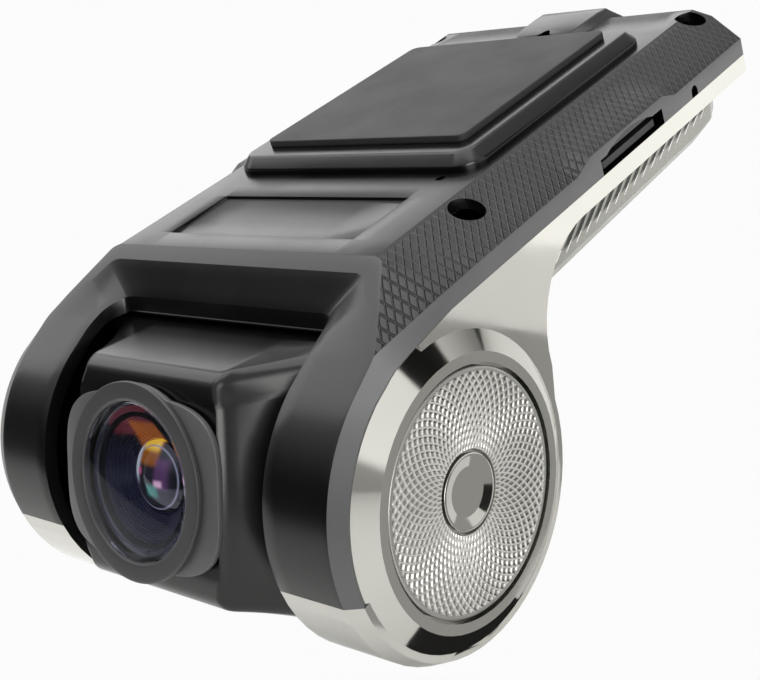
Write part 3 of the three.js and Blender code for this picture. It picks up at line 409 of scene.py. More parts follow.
def eased(corners, ease, steps=3, closed=True):
    """Corners swapped for curves (1-t)^2 A + 2t(1-t) P + t^2 B, with A and B lying `ease` off the
    corner P."""
    corners = np.asarray(corners, float)
    ease = np.broadcast_to(np.asarray(ease, float), len(corners))[:, None]
    before = np.roll(corners, 1, axis=0) - corners
    after = np.roll(corners, -1, axis=0) - corners
    before_length = np.linalg.norm(before, axis=1, keepdims=True)
    after_length = np.linalg.norm(after, axis=1, keepdims=True)
    reach = np.minimum(ease, 0.45 * np.minimum(before_length, after_length))
    if not closed:
        reach[[0, -1]] = 0
    a = corners + before / before_length * reach
    b = corners + after / after_length * reach
    t = np.linspace(0, 1, steps + 1)[None, :, None]
    curve = (1 - t) ** 2 * a[:, None] + 2 * t * (1 - t) * corners[:, None] + t**2 * b[:, None]
    return curve.reshape(-1, corners.shape[1])


def rounded_rectangle(half_width, y0, y1, radius, steps=8):
    """Four quarter circles of one radius, joined by straight sides, anticlockwise."""
    turn = np.linspace(0, math.pi / 2, steps + 1)
    quarter = radius * np.stack([np.cos(turn), np.sin(turn)], axis=1)
    centres = [
        (half_width - radius, y1 - radius),
        (radius - half_width, y1 - radius),
        (radius - half_width, y0 + radius),
        (half_width - radius, y0 + radius),
    ]
    spins = [np.array([[0, 1], [-1, 0]]), -np.eye(2), np.array([[0, -1], [1, 0]])]
    arcs = [quarter] + [quarter @ spin for spin in spins]
    return np.concatenate([arc + centre for arc, centre in zip(arcs, centres)])


def moved_in(outline, inset):
    """Each point of an anticlockwise outline moves inwards by `inset`, square to its neighbours."""
    along = np.roll(outline, -1, axis=0) - np.roll(outline, 1, axis=0)
    along /= np.linalg.norm(along, axis=1, keepdims=True)
    return outline + inset * np.stack([-along[:, 1], along[:, 0]], axis=1)


def turned(profile, segments=128):
    """A profile of (radius, along) carried round an axis: (r cos t, r sin t, along)."""
    radius, along = np.asarray(profile, float).T
    turn = np.linspace(0, 2 * math.pi, segments, endpoint=False)
    across = radius[:, None] * np.cos(turn)
    up_ = radius[:, None] * np.sin(turn)
    return np.stack([across, up_, np.broadcast_to(along[:, None], across.shape)], axis=-1)


def about_x(grid):
    """The turning axis laid along X."""
    return grid[..., [2, 0, 1]]


def about_lens(grid):
    """The turning axis laid along -Y, the way that the lens looks."""
    return grid[..., [0, 2, 1]] * [1, -1, 1]


def cells(rows, columns, around=True, closed=False):
    """One four-sided face for each cell of a grid of points numbered row by row."""
    row = np.arange(rows if closed else rows - 1)[:, None]
    column = np.arange(columns if around else columns - 1)[None, :]
    next_row, next_column = (row + 1) % rows, (column + 1) % columns
    corners = [(row, column), (row, next_column), (next_row, next_column), (next_row, column)]
    return np.stack([r * columns + c for r, c in corners], axis=-1).reshape(-1, 4)


def capped(rings):
    """Rings of points stacked into a grid, closed by a pole in the middle of each end."""
    poles = [np.broadcast_to(rings[k].mean(axis=0), rings[k].shape) for k in (0, -1)]
    return np.stack([poles[0], *rings, poles[1]])


def mesh_of(name, points, faces, merge=1e-6):
    """A mesh with its doubled points merged and its faces turned outwards."""
    mesh = bpy.data.meshes.new(name)
    mesh.from_pydata(points.reshape(-1, 3), [], faces.tolist())
    work = bmesh.new()
    work.from_mesh(mesh)
    bmesh.ops.remove_doubles(work, verts=work.verts, dist=merge)
    bmesh.ops.recalc_face_normals(work, faces=work.faces)
    work.to_mesh(mesh)
    work.free()
    return mesh


def piece(name, grid, body, material, nodes=(), sharp=35, merge=1e-6, closed=False):
    """A grid in millimetres becomes a finished object on its body: smooth shading, with the
    edges steeper than `sharp` degrees left crisp."""
    place = on_module if body == "lens_module" else on_housing
    mesh = mesh_of(name, place(grid), cells(*grid.shape[:2], closed=closed), merge)
    return finished(name, mesh, body, material, nodes, sharp)


def finished(name, mesh, body, material, nodes=(), sharp=35):
    """Shading, finish, body and the CAD nodes that the piece stands for, which are hidden. Without a
    material the mesh keeps the ones that it has."""
    mesh.shade_smooth()
    mesh.set_sharp_from_angle(angle=math.radians(sharp))
    if material:
        mesh.materials.clear()
        mesh.materials.append(material)
    made = linked(name, mesh)
    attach(made, body)
    if nodes:
        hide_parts(*nodes)
    print(f"{name}: {len(mesh.polygons)} faces")
    return made


def softened(node, material, width=0.12, segments=2, angle=12):
    """A CAD node's shape with its edges rounded: a merged copy, its flat faces joined, then a
    live bevel of `width` millimetres on every edge steeper than `angle` degrees."""
    source = frame["nodes"][node]
    mesh = source.data.copy()
    work = bmesh.new()
    work.from_mesh(mesh)
    bmesh.ops.remove_doubles(work, verts=work.verts, dist=2e-6)
    bmesh.ops.dissolve_limit(
        work, angle_limit=math.radians(0.6), verts=work.verts, edges=work.edges
    )
    work.to_mesh(mesh)
    work.free()
    made = finished(node + "_finish", mesh, source["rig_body"], material, [node], angle)
    bevel = made.modifiers.new("edges", "BEVEL")
    bevel.width = width * MM
    bevel.segments = segments
    bevel.limit_method = "ANGLE"
    bevel.angle_limit = math.radians(angle)
    bevel.harden_normals = True
    return made


print("tools ready")

# %% [markdown]
# ## Finishes
#
# The housing is moulded in black with a fine satin grain. The bright parts are plated plastic, the
# dials are plated in a warmer pewter tone, and the pad is dense foam tape. Each finish takes its
# grain, its drift of colour and its patches of wear from the shared effects.

# %% plain finishes
black_matt = simple_finish(
    "satin_black", (0.0016, 0.0016, 0.0017), (0.0026, 0.0026, 0.0027), (0.19, 0.26), 5.0, 0.003
)
bright_plate = simple_finish(
    "bright_plating", (0.56, 0.55, 0.51), (0.61, 0.60, 0.56), (0.05, 0.10), 3.0, 0.0004, Metallic=1.0
)
# A lighter copy of the black for the side walls and the cheek rims: painted light, for the light
# that falls on them.
side_lit_black = simple_finish(
    "side_lit_black", (0.085, 0.085, 0.087), (0.105, 0.105, 0.107), (0.34, 0.42), 5.0, 0.003
)
pad_foam = simple_finish(
    "foam_tape", (0.018, 0.018, 0.0185), (0.025, 0.025, 0.0255), (0.55, 0.68), 9.0, 0.02
)
circuit_board = simple_finish(
    "solder_mask", (0.012, 0.09, 0.05), (0.02, 0.13, 0.075), (0.25, 0.4), 2.0, 0.004
)
chip_black = simple_finish(
    "moulded_epoxy", (0.014, 0.014, 0.015), (0.022, 0.022, 0.023), (0.42, 0.55), 8.0, 0.004
)
bright_steel = simple_finish(
    "satin_steel", (0.42, 0.42, 0.43), (0.52, 0.52, 0.53), (0.24, 0.38), 6.0, 0.002, Metallic=1.0
)
black_rubber = simple_finish(
    "moulded_rubber", (0.012, 0.012, 0.012), (0.02, 0.02, 0.02), (0.6, 0.75), 4.0, 0.01
)
ribbon_amber = simple_finish(
    "flexible_circuit", (0.36, 0.15, 0.03), (0.44, 0.2, 0.05), (0.28, 0.4), 1.0, 0.004
)
ivory_plastic = simple_finish(
    "ivory_moulding", (0.58, 0.53, 0.42), (0.66, 0.61, 0.5), (0.35, 0.5), 4.0, 0.003
)
lens_glass = simple_finish(
    "coated_glass", (0.9, 0.92, 1.0), (0.97, 0.98, 1.0), (0.0, 0.015), 0.5, 0.0001,
    Transmission_Weight=1.0, IOR=1.5,
)

# %% [markdown]
# The slopes beside the deck carry moulded ribs: one family runs straight across the slope and the
# other crosses it diagonally, both 1.1 mm apart along Y. Each rib is a narrow ridge where the
# distance to the nearest whole line is small, and the pattern fades in beside the flat deck.

# %% ribbed finish of the slopes
RIB_PITCH = 1.1
FLAT_HALF = 18.13  # half the width of the flat deck


def rib_family(tree, along):
    """A ridge at each whole value of along / pitch: smooth fall from 1 on the line to 0 at 0.17."""
    phase = math_node(tree, "DIVIDE", along, RIB_PITCH)
    off = math_node(tree, "PINGPONG", phase, 0.5)
    return soft_step(tree, off, 0.17, 0.0)


black_knurled, tree, shader = finish("ribbed_black")
tinted(tree, shader, (0.004, 0.004, 0.0042), (0.006, 0.006, 0.0062))
worn(tree, shader, 0.12, 0.32, 0.42)
spot = add(tree, "ShaderNodeSeparateXYZ", _0=object_place(tree)).outputs
outwards = math_node(tree, "SUBTRACT", math_node(tree, "ABSOLUTE", spot["X"]), FLAT_HALF)
slanted = math_node(tree, "ADD", spot["Y"], math_node(tree, "MULTIPLY", outwards, 1.32))
both_ribs = math_node(tree, "MAXIMUM", rib_family(tree, spot["Y"]), rib_family(tree, slanted))
ribs = math_node(tree, "MULTIPLY", both_ribs, soft_step(tree, outwards, 0.1, 0.9))
stipple = math_node(tree, "MULTIPLY", placed(tree, grain, Scale=5.0), 0.05)
bumped(tree, shader, math_node(tree, "ADD", ribs, stipple), 0.09)
print("finishes:", [m.name for m in bpy.data.materials])

# %% [markdown]
# The belly pod's side carries fine raised louvres, drawn only in the plating's colour. They fan down
# and forward from under the bright strip: the groove beside each is painted shade, and each ends in
# a short bright edge, a painted highlight, above the smooth border of the pod.


# %% louvred finish of the belly pod
LOUVRE_PITCH = 1.97
TICK_HEIGHT, TICK_CLIMB = 9.73, 0.0398
belly_plate, tree, shader = finish("louvred_plating", Metallic=0.8)
spot = add(tree, "ShaderNodeSeparateXYZ", _0=object_place(tree)).outputs
local_y = math_node(tree, "ADD", spot["Y"], float(-1000 * pivot[1]))
local_z = math_node(tree, "ADD", spot["Z"], float(-1000 * pivot[2]))
climb = math_node(tree, "MULTIPLY", local_y, TICK_CLIMB)
above = math_node(tree, "SUBTRACT", local_z, math_node(tree, "ADD", climb, TICK_HEIGHT))
leaning = math_node(tree, "ADD", math_node(tree, "MULTIPLY", above, -1.5), local_y)
louvre = math_node(tree, "FRACT", math_node(tree, "DIVIDE", leaning, LOUVRE_PITCH))
rear_end = soft_step(tree, local_y, 57.0, 55.0)
fan_top, groove_side = soft_step(tree, above, -0.1, 0.3), soft_step(tree, louvre, 0.2, 0.55)
groove_shade = product(tree, fan_top, rear_end, groove_side)
tick_low, tick_high = soft_step(tree, above, -0.45, -0.35), soft_step(tree, above, 0.35, 0.25)
tick_highlight = product(tree, tick_low, tick_high, soft_step(tree, louvre, 0.16, 0.08), rear_end)
# Painted shade in the grooves, then painted highlights on the ticks.
plating = mix_colour(tree, groove_shade, (0.34, 0.34, 0.31), (0.03, 0.03, 0.028))
plating = mix_colour(tree, tick_highlight, plating, (0.95, 0.94, 0.9))
tree.links.new(plating, shader.inputs["Base Color"])
worn(tree, shader, 0.3, 0.24, 0.34)
print("louvres every", LOUVRE_PITCH, "mm")

# %% [markdown]
# The lens is a stack of coated glass over a black stepped cone. Coatings throw back narrow bands
# of amber, violet and teal. These reflections are painted on the cone and the inner element as
# patches that glow, laid out in the lens's own plane: a Mapping node moves the pattern to the pivot
# and levels the tilt.


# %% finishes of the lens
# The streaks of colour are painted reflections of the coatings.
STREAK_LEAN = -0.04  # how far the streaks of colour lean across for each mm up the face


def lens_plane(tree):
    """Place in the lens's plane, in mm: X across, Y along the axis, Z up the face."""
    turn = add(tree, "ShaderNodeMapping", {"vector_type": "TEXTURE"}, Vector=object_place(tree))
    turn.inputs["Location"].default_value = 1000 * pivot
    turn.inputs["Rotation"].default_value = (-REST_TILT, 0, 0)
    return add(tree, "ShaderNodeSeparateXYZ", _0=turn.outputs[0]).outputs


# Painted reflection patch: 1 inside two widths and two heights of the lens's plane, 0 outside, soft
# edges.
sides = [("Left", 0.0), ("Right", 1.0), ("Bottom", 0.0), ("Top", 1.0), ("Soft", 0.25)]
reflection_patch, given, out = group("painted_reflection_patch", sides, ["Mask"])
plane = lens_plane(reflection_patch)
lean = math_node(reflection_patch, "MULTIPLY", plane["Z"], STREAK_LEAN)
across = math_node(reflection_patch, "ADD", plane["X"], lean)
mask = 1.0
for place, low, high in ((across, "Left", "Right"), (plane["Z"], "Bottom", "Top")):
    for side, first, second in ((low, "SUBTRACT", "ADD"), (high, "ADD", "SUBTRACT")):
        start = math_node(reflection_patch, first, given[side], given["Soft"])
        end = math_node(reflection_patch, second, given[side], given["Soft"])
        mask = math_node(reflection_patch, "MULTIPLY", soft_step(reflection_patch, place, start, end), mask)
reflection_patch.links.new(mask, out["Mask"])


def glowing_reflections(tree, shader, layers):
    """Painted reflections: patches mixed one over another, over black, into the emission colour so
    that they glow. Each is a colour, its share, its left, right, bottom and top in mm, and the
    softness of its edge."""
    colour = (0, 0, 0)
    for tint, amount, left, right_, bottom, top, soft in layers:
        patch = placed(tree, reflection_patch, Left=left, Right=right_, Bottom=bottom, Top=top, Soft=soft)
        colour = mix_colour(tree, math_node(tree, "MULTIPLY", patch, amount), colour, tint)
    tree.links.new(colour, shader.inputs["Emission Color"])


def glowing_reflection_ring(tree, shader, plane, radius, width, tint):
    """A thin bright circle painted over the patches as a reflection: exp(-((r - radius) / width)^2)
    of the distance r.
    """
    square = [math_node(tree, "POWER", math_node(tree, "ABSOLUTE", plane[k]), 2.0) for k in "XZ"]
    distance = math_node(tree, "SQRT", math_node(tree, "ADD", *square))
    off = math_node(tree, "DIVIDE", math_node(tree, "SUBTRACT", distance, radius), width)
    off = math_node(tree, "MULTIPLY", off, off)
    mask = math_node(tree, "EXPONENT", math_node(tree, "MULTIPLY", off, -1.0))
    colour = shader.inputs["Emission Color"]
    tree.links.new(mix_colour(tree, mask, colour.links[0].from_socket, tint), colour)


def lens_finish(name, low, high, rough, layers, ring=None, **constants):
    """Drifting colour and patchy roughness, with painted reflections, patches and a ring, that glow
    faintly.
    """
    material, tree, shader = finish(name, Emission_Strength=1.0 if layers else 0.0, **constants)
    tinted(tree, shader, low, high, 0.6)
    worn(tree, shader, 0.4, *rough)
    if layers:
        glowing_reflections(tree, shader, layers)
    if ring:
        glowing_reflection_ring(tree, shader, lens_plane(tree), *ring)
    return material


# Lighter copies of the black gloss for the face plate and the bezel: painted light, for the light
# that their faces catch.
plate_lit_black = simple_finish(
    "plate_lit_black", (0.07, 0.07, 0.071), (0.085, 0.085, 0.086), (0.3, 0.38), 6.0, 0.001
)
ring_lit_black = simple_finish(
    "ring_lit_black", (0.036, 0.036, 0.037), (0.044, 0.044, 0.045), (0.3, 0.38), 6.0, 0.001
)
# The cone and the inner element glow with painted reflections of the coatings.
baffle_black = lens_finish(
    "baffle_black",
    (0.002, 0.0025, 0.006),
    (0.004, 0.004, 0.009),
    (0.25, 0.35),
    [
        ((0.006, 0.006, 0.014), 1.0, -7, 7, -7, 2, 2.5),
        ((0.07, 0.010, 0.014), 0.9, -4.6, 0.7, 3.7, 7.5, 0.25),
        ((0.20, 0.052, 0.006), 1.0, -2.7, 0.7, 1.2, 5.2, 0.25),
        ((0.035, 0.010, 0.035), 0.8, 2.9, 5.6, -1, 5, 1.4),
    ],
)
coated_element = lens_finish(
    "coated_element",
    (0.003, 0.004, 0.01),
    (0.006, 0.006, 0.014),
    (0.02, 0.05),
    [
        ((0.012, 0.012, 0.012), 0.8, -3, 3, -3, 3, 1.0),
        ((0.22, 0.07, 0.006), 0.9, -2.7, 0.7, 1.2, 5.8, 0.3),
        ((0.75, 0.47, 0.04), 0.8, -2.1, 0.5, 2.5, 3.8, 0.3),
        ((0.24, 0.26, 0.34), 0.7, -4.4, -2.0, -0.7, 3.6, 0.3),
        ((0.55, 0.62, 0.60), 0.6, -3.6, -2.2, -0.2, 3.1, 0.4),
        ((0.50, 0.08, 0.20), 0.7, -2.2, -1.5, 0.2, 0.8, 0.2),
        ((0.11, 0.045, 0.13), 0.6, 0.5, 2.0, -0.9, 1.9, 0.4),
        ((0.75, 0.45, 0.60), 0.7, 0.5, 1.4, -0.7, -0.1, 0.2),
        ((0.03, 0.22, 0.17), 0.7, -0.6, 0.8, -1.7, -0.6, 0.3),
    ],
    ring=(2.95, 0.07, (0.20, 0.20, 0.26)),
    Coat_Weight=0.4,
    Coat_Roughness=0.02,
)
cover_glass = lens_finish(
    "cover_glass",
    (0.86, 0.88, 1.0),
    (0.92, 0.94, 1.0),
    (0.0, 0.01),
    [],
    Transmission_Weight=1.0,
    IOR=1.16,
)
print("lens finishes ready")

# %% [markdown]
# ## Upper shell
#
# The black shell is one skin made of strips that share their edges: a hood round the lens, the
# flat deck, the textured slopes and the side walls that run on into the rims of the cheeks. Each
# strip is ruled between two curves. A bevel softens the creases and Solidify gives the skin its
# wall; holes are cut last with simple solids, so the skin itself stays an even grid.

# %% curves of the hood, from over the lens out to the seam of the cheek
DECK_TOP, DECK_FRONT, DECK_REAR, DECK_SIDE = 20.34, 5.15, 66.1, 25.0
SIDE_EDGE, SEAM = 17.45, 15.55
CHEEK_RADIUS, RIM_RADIUS = 15.83, 15.1
CORNER_ACROSS, CORNER_ALONG = 4.6, 3.0
LABEL_DEPTH = 0.35

deck_x = np.array([0, 4, 8, 12.94, 13.0, 15, FLAT_HALF])
cheek_turn = np.radians(np.linspace(116.8, 183.26, 30))[1:]


def hood_curve(corners, ease, radius=CHEEK_RADIUS):
    """A straight run over the lens with the deck's own divisions, eased corners down the side,
    then the cheek's circle (x, r cos t, r sin t)."""
    corners = np.asarray(corners, float)
    straight = np.outer(deck_x / FLAT_HALF, [corners[0][0], 0, 0]) + [0, *corners[0][1:]]
    side = eased(corners, ease, 4, False)[5:-4]
    circle = radius * np.column_stack([0 * cheek_turn, np.cos(cheek_turn), np.sin(cheek_turn)])
    return np.concatenate([straight, side, circle + [corners[-1][0], 0, 0]])


hood_ease = [0, 0.5, 0.9, 0.8, 0]
frame_edge = hood_curve(
    [(18.13, 5.15, 20.34), (19.1, 4.75, 20.14), (21.4, 0.4, 17.95), (23.31, -3.54, 15.95),
     (23.31, -7.14, 14.13)], hood_ease)
frame_crease = hood_curve(
    [(16.9, 3.48, 19.5), (17.9, 3.2, 19.36), (19.85, 0.3, 17.89), (21.5, -3.4, 16.02),
     (22.2, -7.14, 14.13)], hood_ease)
lip = hood_curve(
    [(13.2, 1.15, 16.5), (14.6, 0.95, 16.5), (15.6, -1.3, 16.35), (15.85, -3.6, 15.7),
     (15.85, -7.14, 14.13)], hood_ease)
lip_foot = hood_curve(
    [(13.2, 0.6, 14.95), (14.7, 0.5, 14.95), (15.8, -1.5, 14.9), (15.85, -3.7, 14.3),
     (15.85, -6.5, 12.86)], hood_ease, 14.4)
print("hood curves:", len(frame_edge), "points each")


# %% curves of the deck and of the side
def hump(points):
    """The side edge rises 0.85 mm over the card between two ramps along Y, and the rise fades
    to nothing inwards at x = 19.5."""
    along = np.interp(points[..., 1], [27.1, 29.5, 44.5, 47.0], [0, 0.85, 0.85, 0])
    across = np.clip((points[..., 0] - 19.5) / (DECK_SIDE - 19.5), 0, 1)
    return points + np.stack([0 * along, 0 * along, along * across], axis=-1)


def ruled(first, second, shares):
    """Rows between two curves: (1 - s) first + s second for each share s."""
    s = np.asarray(shares, float)[:, None, None]
    return (1 - s) * first + s * second


deck_y = np.sort(np.concatenate([
    np.arange(19, 62, 4.0), [DECK_FRONT, 8, 8.06, 11, 16.54, 16.6, 27.1, 29.5, 44.5, 47, DECK_REAR]
]))
x, y = np.meshgrid(deck_x, deck_y, indexing="ij")
in_label = (x < 12.97) & (y > 8.03) & (y < 16.57)
deck = np.stack([x, y, DECK_TOP - LABEL_DEPTH * in_label], axis=-1)

tip = len(deck_x) + 12
slope_front = frame_edge[len(deck_x):tip + 1][::-1]
slope_inner = np.concatenate([slope_front, deck[-1]])
front_count = len(slope_front) + int((deck_y < 11).sum())
front_share = np.linspace(0, 1, front_count, endpoint=False)


def along_front(points):
    """The front columns' places on a curve given at four shares of the way."""
    points = np.asarray(points, float)
    return np.stack([np.interp(front_share, [0, 0.3, 0.62, 1], p) for p in points.T], axis=-1)


straight_y = deck_y[deck_y >= 11]
side_line = np.column_stack([np.full(len(straight_y), DECK_SIDE), straight_y, 0 * straight_y])
slope_outer = np.concatenate([
    along_front([frame_edge[tip], (24.0, 0.2, 16.55), (24.6, 4.5, 17.1), (25, 11, SIDE_EDGE)]),
    side_line + [0, 0, SIDE_EDGE],
])
tip_turn = math.atan2(frame_edge[tip][2], frame_edge[tip][1])
wall_foot = np.concatenate([
    along_front([
        (25, RIM_RADIUS * math.cos(tip_turn), RIM_RADIUS * math.sin(tip_turn)),
        (25, 0, RIM_RADIUS), (25, 5.15, SEAM), (25, 11, SEAM),
    ]),
    side_line + [0, 0, SEAM],
])


def rear_cut(x):
    """Where the rear edge lies at x: straight, then cut forward across each corner."""
    past = np.maximum(0, x - (DECK_SIDE - CORNER_ACROSS))
    return DECK_REAR - CORNER_ALONG / CORNER_ACROSS * past


wall_foot[-1, 1] = slope_outer[-1, 1] = rear_cut(DECK_SIDE)

slope = hump(ruled(slope_inner, slope_outer, [0, 0.2, 0.33, 0.5, 0.75, 1]))
slope[:, -1, 1] = rear_cut(slope[:, -1, 0])
cheek_edge = frame_edge[tip + 1:]
turn = np.arctan2(cheek_edge[:, 2], cheek_edge[:, 1])
rim_edge = RIM_RADIUS * np.column_stack([0 * turn, np.cos(turn), np.sin(turn)]) + [25, 0, 0]
side_top = np.concatenate([slope[-1][::-1], cheek_edge])
side_foot = np.concatenate([wall_foot[::-1], rim_edge])
side_wall = ruled(side_top, side_foot, [0, 0.5, 1])
rear_top = np.concatenate([deck[:, -1], slope[1:, -1]])
rear_wall = ruled(rear_top, rear_top * [1, 1, 0] + [0, 0, SEAM], [0, 1])
hood = np.concatenate([
    ruled(lip_foot, lip, [0, 1])[:1],
    ruled(lip, frame_crease, [0, 0.25, 0.5, 0.75, 1]),
    ruled(frame_crease, frame_edge, [0.5, 1]),
])
print("tip of the frame at", frame_edge[tip].round(2))

# %% skin, wall and holes
strips = [(hood, 0), (deck, 0), (slope, 1), (side_wall, 2), (rear_wall, 0)]
points, faces, kinds = [], [], []
for strip, kind in strips:
    for side in (1, -1):
        start = sum(len(p) for p in points)
        points.append((strip * [side, 1, 1]).reshape(-1, 3))
        faces.append(cells(*strip.shape[:2], around=False) + start)
        kinds.append(np.full(len(faces[-1]), kind))

skin = bpy.data.meshes.new("skin")
skin.from_pydata(on_housing(np.concatenate(points)), [], np.concatenate(faces).tolist())
skin.polygons.foreach_set("material_index", np.concatenate(kinds).astype(np.int32))
work = bmesh.new()
work.from_mesh(skin)
bmesh.ops.remove_doubles(work, verts=work.verts, dist=4e-6)
bmesh.ops.dissolve_degenerate(work, edges=work.edges, dist=1e-6)
bmesh.ops.recalc_face_normals(work, faces=work.faces)
if max(work.faces, key=lambda f: f.calc_center_median().z).normal.z < 0:
    bmesh.ops.reverse_faces(work, faces=work.faces)
work.to_mesh(skin)
work.free()


def solid_of(name, grid, place=on_housing):
    """A plain closed solid for cutting with."""
    return linked(name, mesh_of(name, place(grid), cells(*grid.shape[:2])))


def rod_z(x, y, radius, low, high, segments=40):
    """An upright rod, closed at both ends."""
    return turned([(0, low), (radius, low), (radius, high), (0, high)], segments) + [x, y, 0]


def bar(outline, x0, x1):
    """An outline of (y, z) carried along X, closed at both ends."""
    outline = np.asarray(outline, float)
    return capped([np.column_stack([np.full(len(outline), x), outline]) for x in (x0, x1)])


def box_outline(y0, y1, z0, z1):
    """Four corners of (y, z)."""
    return [(y0, z0), (y1, z0), (y1, z1), (y0, z1)]


scoop_turn = np.linspace(0, 2 * math.pi, 160, endpoint=False)
scoop = np.column_stack([37.2 + 13.6 * np.cos(scoop_turn), 4.45 + 13.6 * np.sin(scoop_turn)])
notch_turn = np.linspace(0, math.pi, 17)
notch_arc = np.column_stack([51.1 + 0.65 * np.cos(notch_turn), 16.1 + 0.65 * np.sin(notch_turn)])
notch = np.concatenate([notch_arc, [(50.45, 15), (51.75, 15)]])
cutters = [
    rod_z(s * x, y, 1.7, 10, 30) for s in (1, -1) for x, y in ((20.15, 16.0), (18.9, 63.8))
] + [
    rod_z(13.8, 20.8, 0.5, 10, 30, 24),
    bar(box_outline(31.3, 44.0, 15, 17.2), 20, 30),
    bar(scoop[scoop[:, 1] > 17.0], 24.5, 30),
    bar(notch, 21, 30),
]


def cut_by(target, grids, place=on_housing):
    """Takes solids out of the target and returns what is left as a mesh; the rest is removed."""
    tools = [solid_of(f"cutter_{k}", grid, place) for k, grid in enumerate(grids)]
    for tool in tools:
        modifier = target.modifiers.new("cut", "BOOLEAN")
        modifier.operation, modifier.solver, modifier.object = "DIFFERENCE", "EXACT", tool
        modifier.use_self = True
    graph = bpy.context.evaluated_depsgraph_get()
    mesh = bpy.data.meshes.new_from_object(target.evaluated_get(graph))
    for used in [target, *tools]:
        bpy.data.objects.remove(used)
    return mesh


blank = linked("blank", skin)
# The side walls, kind 2, take the lighter copy of the black: painted light.
for material in (black_matt, black_knurled, side_lit_black):
    skin.materials.append(material)
bevel = blank.modifiers.new("creases", "BEVEL")
bevel.width, bevel.segments = 0.14 * MM, 2
bevel.limit_method, bevel.angle_limit = "ANGLE", math.radians(14)
wall = blank.modifiers.new("wall", "SOLIDIFY")
wall.thickness, wall.offset = 1.0 * MM, -1
shell_mesh = cut_by(blank, cutters)
finished("upper_shell_skin", shell_mesh, "housing", None, ["upper_shell"], 32)

# %% [markdown]
# ## Cable gate
#
# The cord leaves through a hump in the middle of the rear edge. It is a loft along Y: a narrow
# ridge that starts level with the deck and swells into a shouldered block, bored for the grommet.

# %% hump over the cord
GATE_X, GATE_END = 1.0, 68.2
gate_stations = [  # y, half width at the foot, half width of the top, height of the top
    (58.4, 5.0, 3.4, 20.32),
    (59.2, 6.0, 3.8, 20.55),
    (60.6, 6.9, 4.2, 20.85),
    (63.0, 7.7, 4.5, 21.08),
    (66.0, 8.2, 4.6, 21.15),
    (67.6, 8.4, 4.6, 21.13),
    (67.95, 8.36, 4.55, 21.05),
    (GATE_END, 8.1, 4.3, 20.85),
]
rings = []
for y, foot, top, height in gate_stations:
    corners = [(-foot, 15.6), (-foot, 18.9), (-top - 0.5, height - 0.35), (-top, height),
               (top, height), (top + 0.5, height - 0.35), (foot, 18.9), (foot, 15.6)]
    ring = eased(corners, [0.05, 0.7, 0.4, 0.3, 0.3, 0.4, 0.7, 0.05], 4)
    rings.append(np.column_stack([ring[:, 0] + GATE_X, np.full(len(ring), y), ring[:, 1]]))
bore = turned([(0, 60), (3.05, 60), (3.05, 80), (0, 80)], 48)[..., [0, 2, 1]] + [GATE_X, 0, 17.9]
gate_mesh = cut_by(solid_of("blank", capped(rings)), [bore])
finished("cable_gate", gate_mesh, "housing", black_matt, ["upper_shell"], 35)

# %% [markdown]
# ## Other shells
#
# These keep the CAD model's shape: its walls, holes and seams are already where they should be.
# A merged copy gets a small live bevel so that every edge catches the light.

# %% lower shell and module shells
lower = softened("lower_shell", bright_plate, 0.1)
# Faces inside the barrel and under the hood's lip take the black finish in place of the plating:
# painted shade, so that the gap round the module looks dark.
lower.data.materials.append(black_matt)
middle = np.empty(3 * len(lower.data.polygons))
lower.data.polygons.foreach_get("center", middle)
middle = 1000 * (middle.reshape(-1, 3) - pivot)
facing = np.empty(3 * len(lower.data.polygons))
lower.data.polygons.foreach_get("normal", facing)
facing = facing.reshape(-1, 3)
towards_axis = (facing[:, 1:] * middle[:, 1:]).sum(axis=1) < 0.05
inside = (np.abs(middle[:, 0]) < 24.4) & (np.hypot(middle[:, 1], middle[:, 2]) < 16) & towards_axis
inside |= (np.abs(middle[:, 0]) < 15.7) & (middle[:, 1] > -4) & (middle[:, 2] > 12)
lower.data.polygons.foreach_set("material_index", inside.astype(np.int32))
print("black_painted_shade faces inside the barrel:", int(inside.sum()))
softened("belly_cover", belly_plate, 0.2)
softened("module_rear_shell", black_matt, 0.15)

# %% [markdown]
# ## Lens module
#
# The block round the lens is one loft across its width. Each station is an outline in the plane
# of the lens axis: a piece of the drum at the back, a sloping roof, a chamfer and the front. The
# front draws back towards the cheeks, so the flanks flare out into the drum.

# %% block of the module
BLOCK_HALF, BLOCK_FRONT, BLOCK_TOP = 9.3, 15.5, 10.7
DRUM_RADIUS, DRUM_HALF, BLOCK_SEAM = 14.4, 15.45, 4.5


def block_outline(front, top):
    """Outline of (d, z), d ahead of the pivot: drum at the seam, roof, chamfer, front, mirrored."""
    seam = math.sqrt(DRUM_RADIUS**2 - BLOCK_SEAM**2)
    upper = [(BLOCK_SEAM, seam), (5.9, 13.1), (front - 1.2, top), (front - 0.35, top - 0.9),
             (front, top - 2.7)]
    lower = [(d, -z) for d, z in upper[::-1]]
    return eased(upper + lower, [0.05, 2.0, 0.9, 0.7, 0.5, 0.5, 0.7, 0.9, 2.0, 0.05], 4)


def block_front(x):
    """The front draws back on a curve that is steep beside the block and eases to the drum."""
    share = np.clip((x - BLOCK_HALF) / (DRUM_HALF - BLOCK_HALF), 0, 1)
    return BLOCK_FRONT - 7.9 * (1.25 * share - 0.25 * share**2) * np.clip(share * 9, 0, 1) ** 0.35


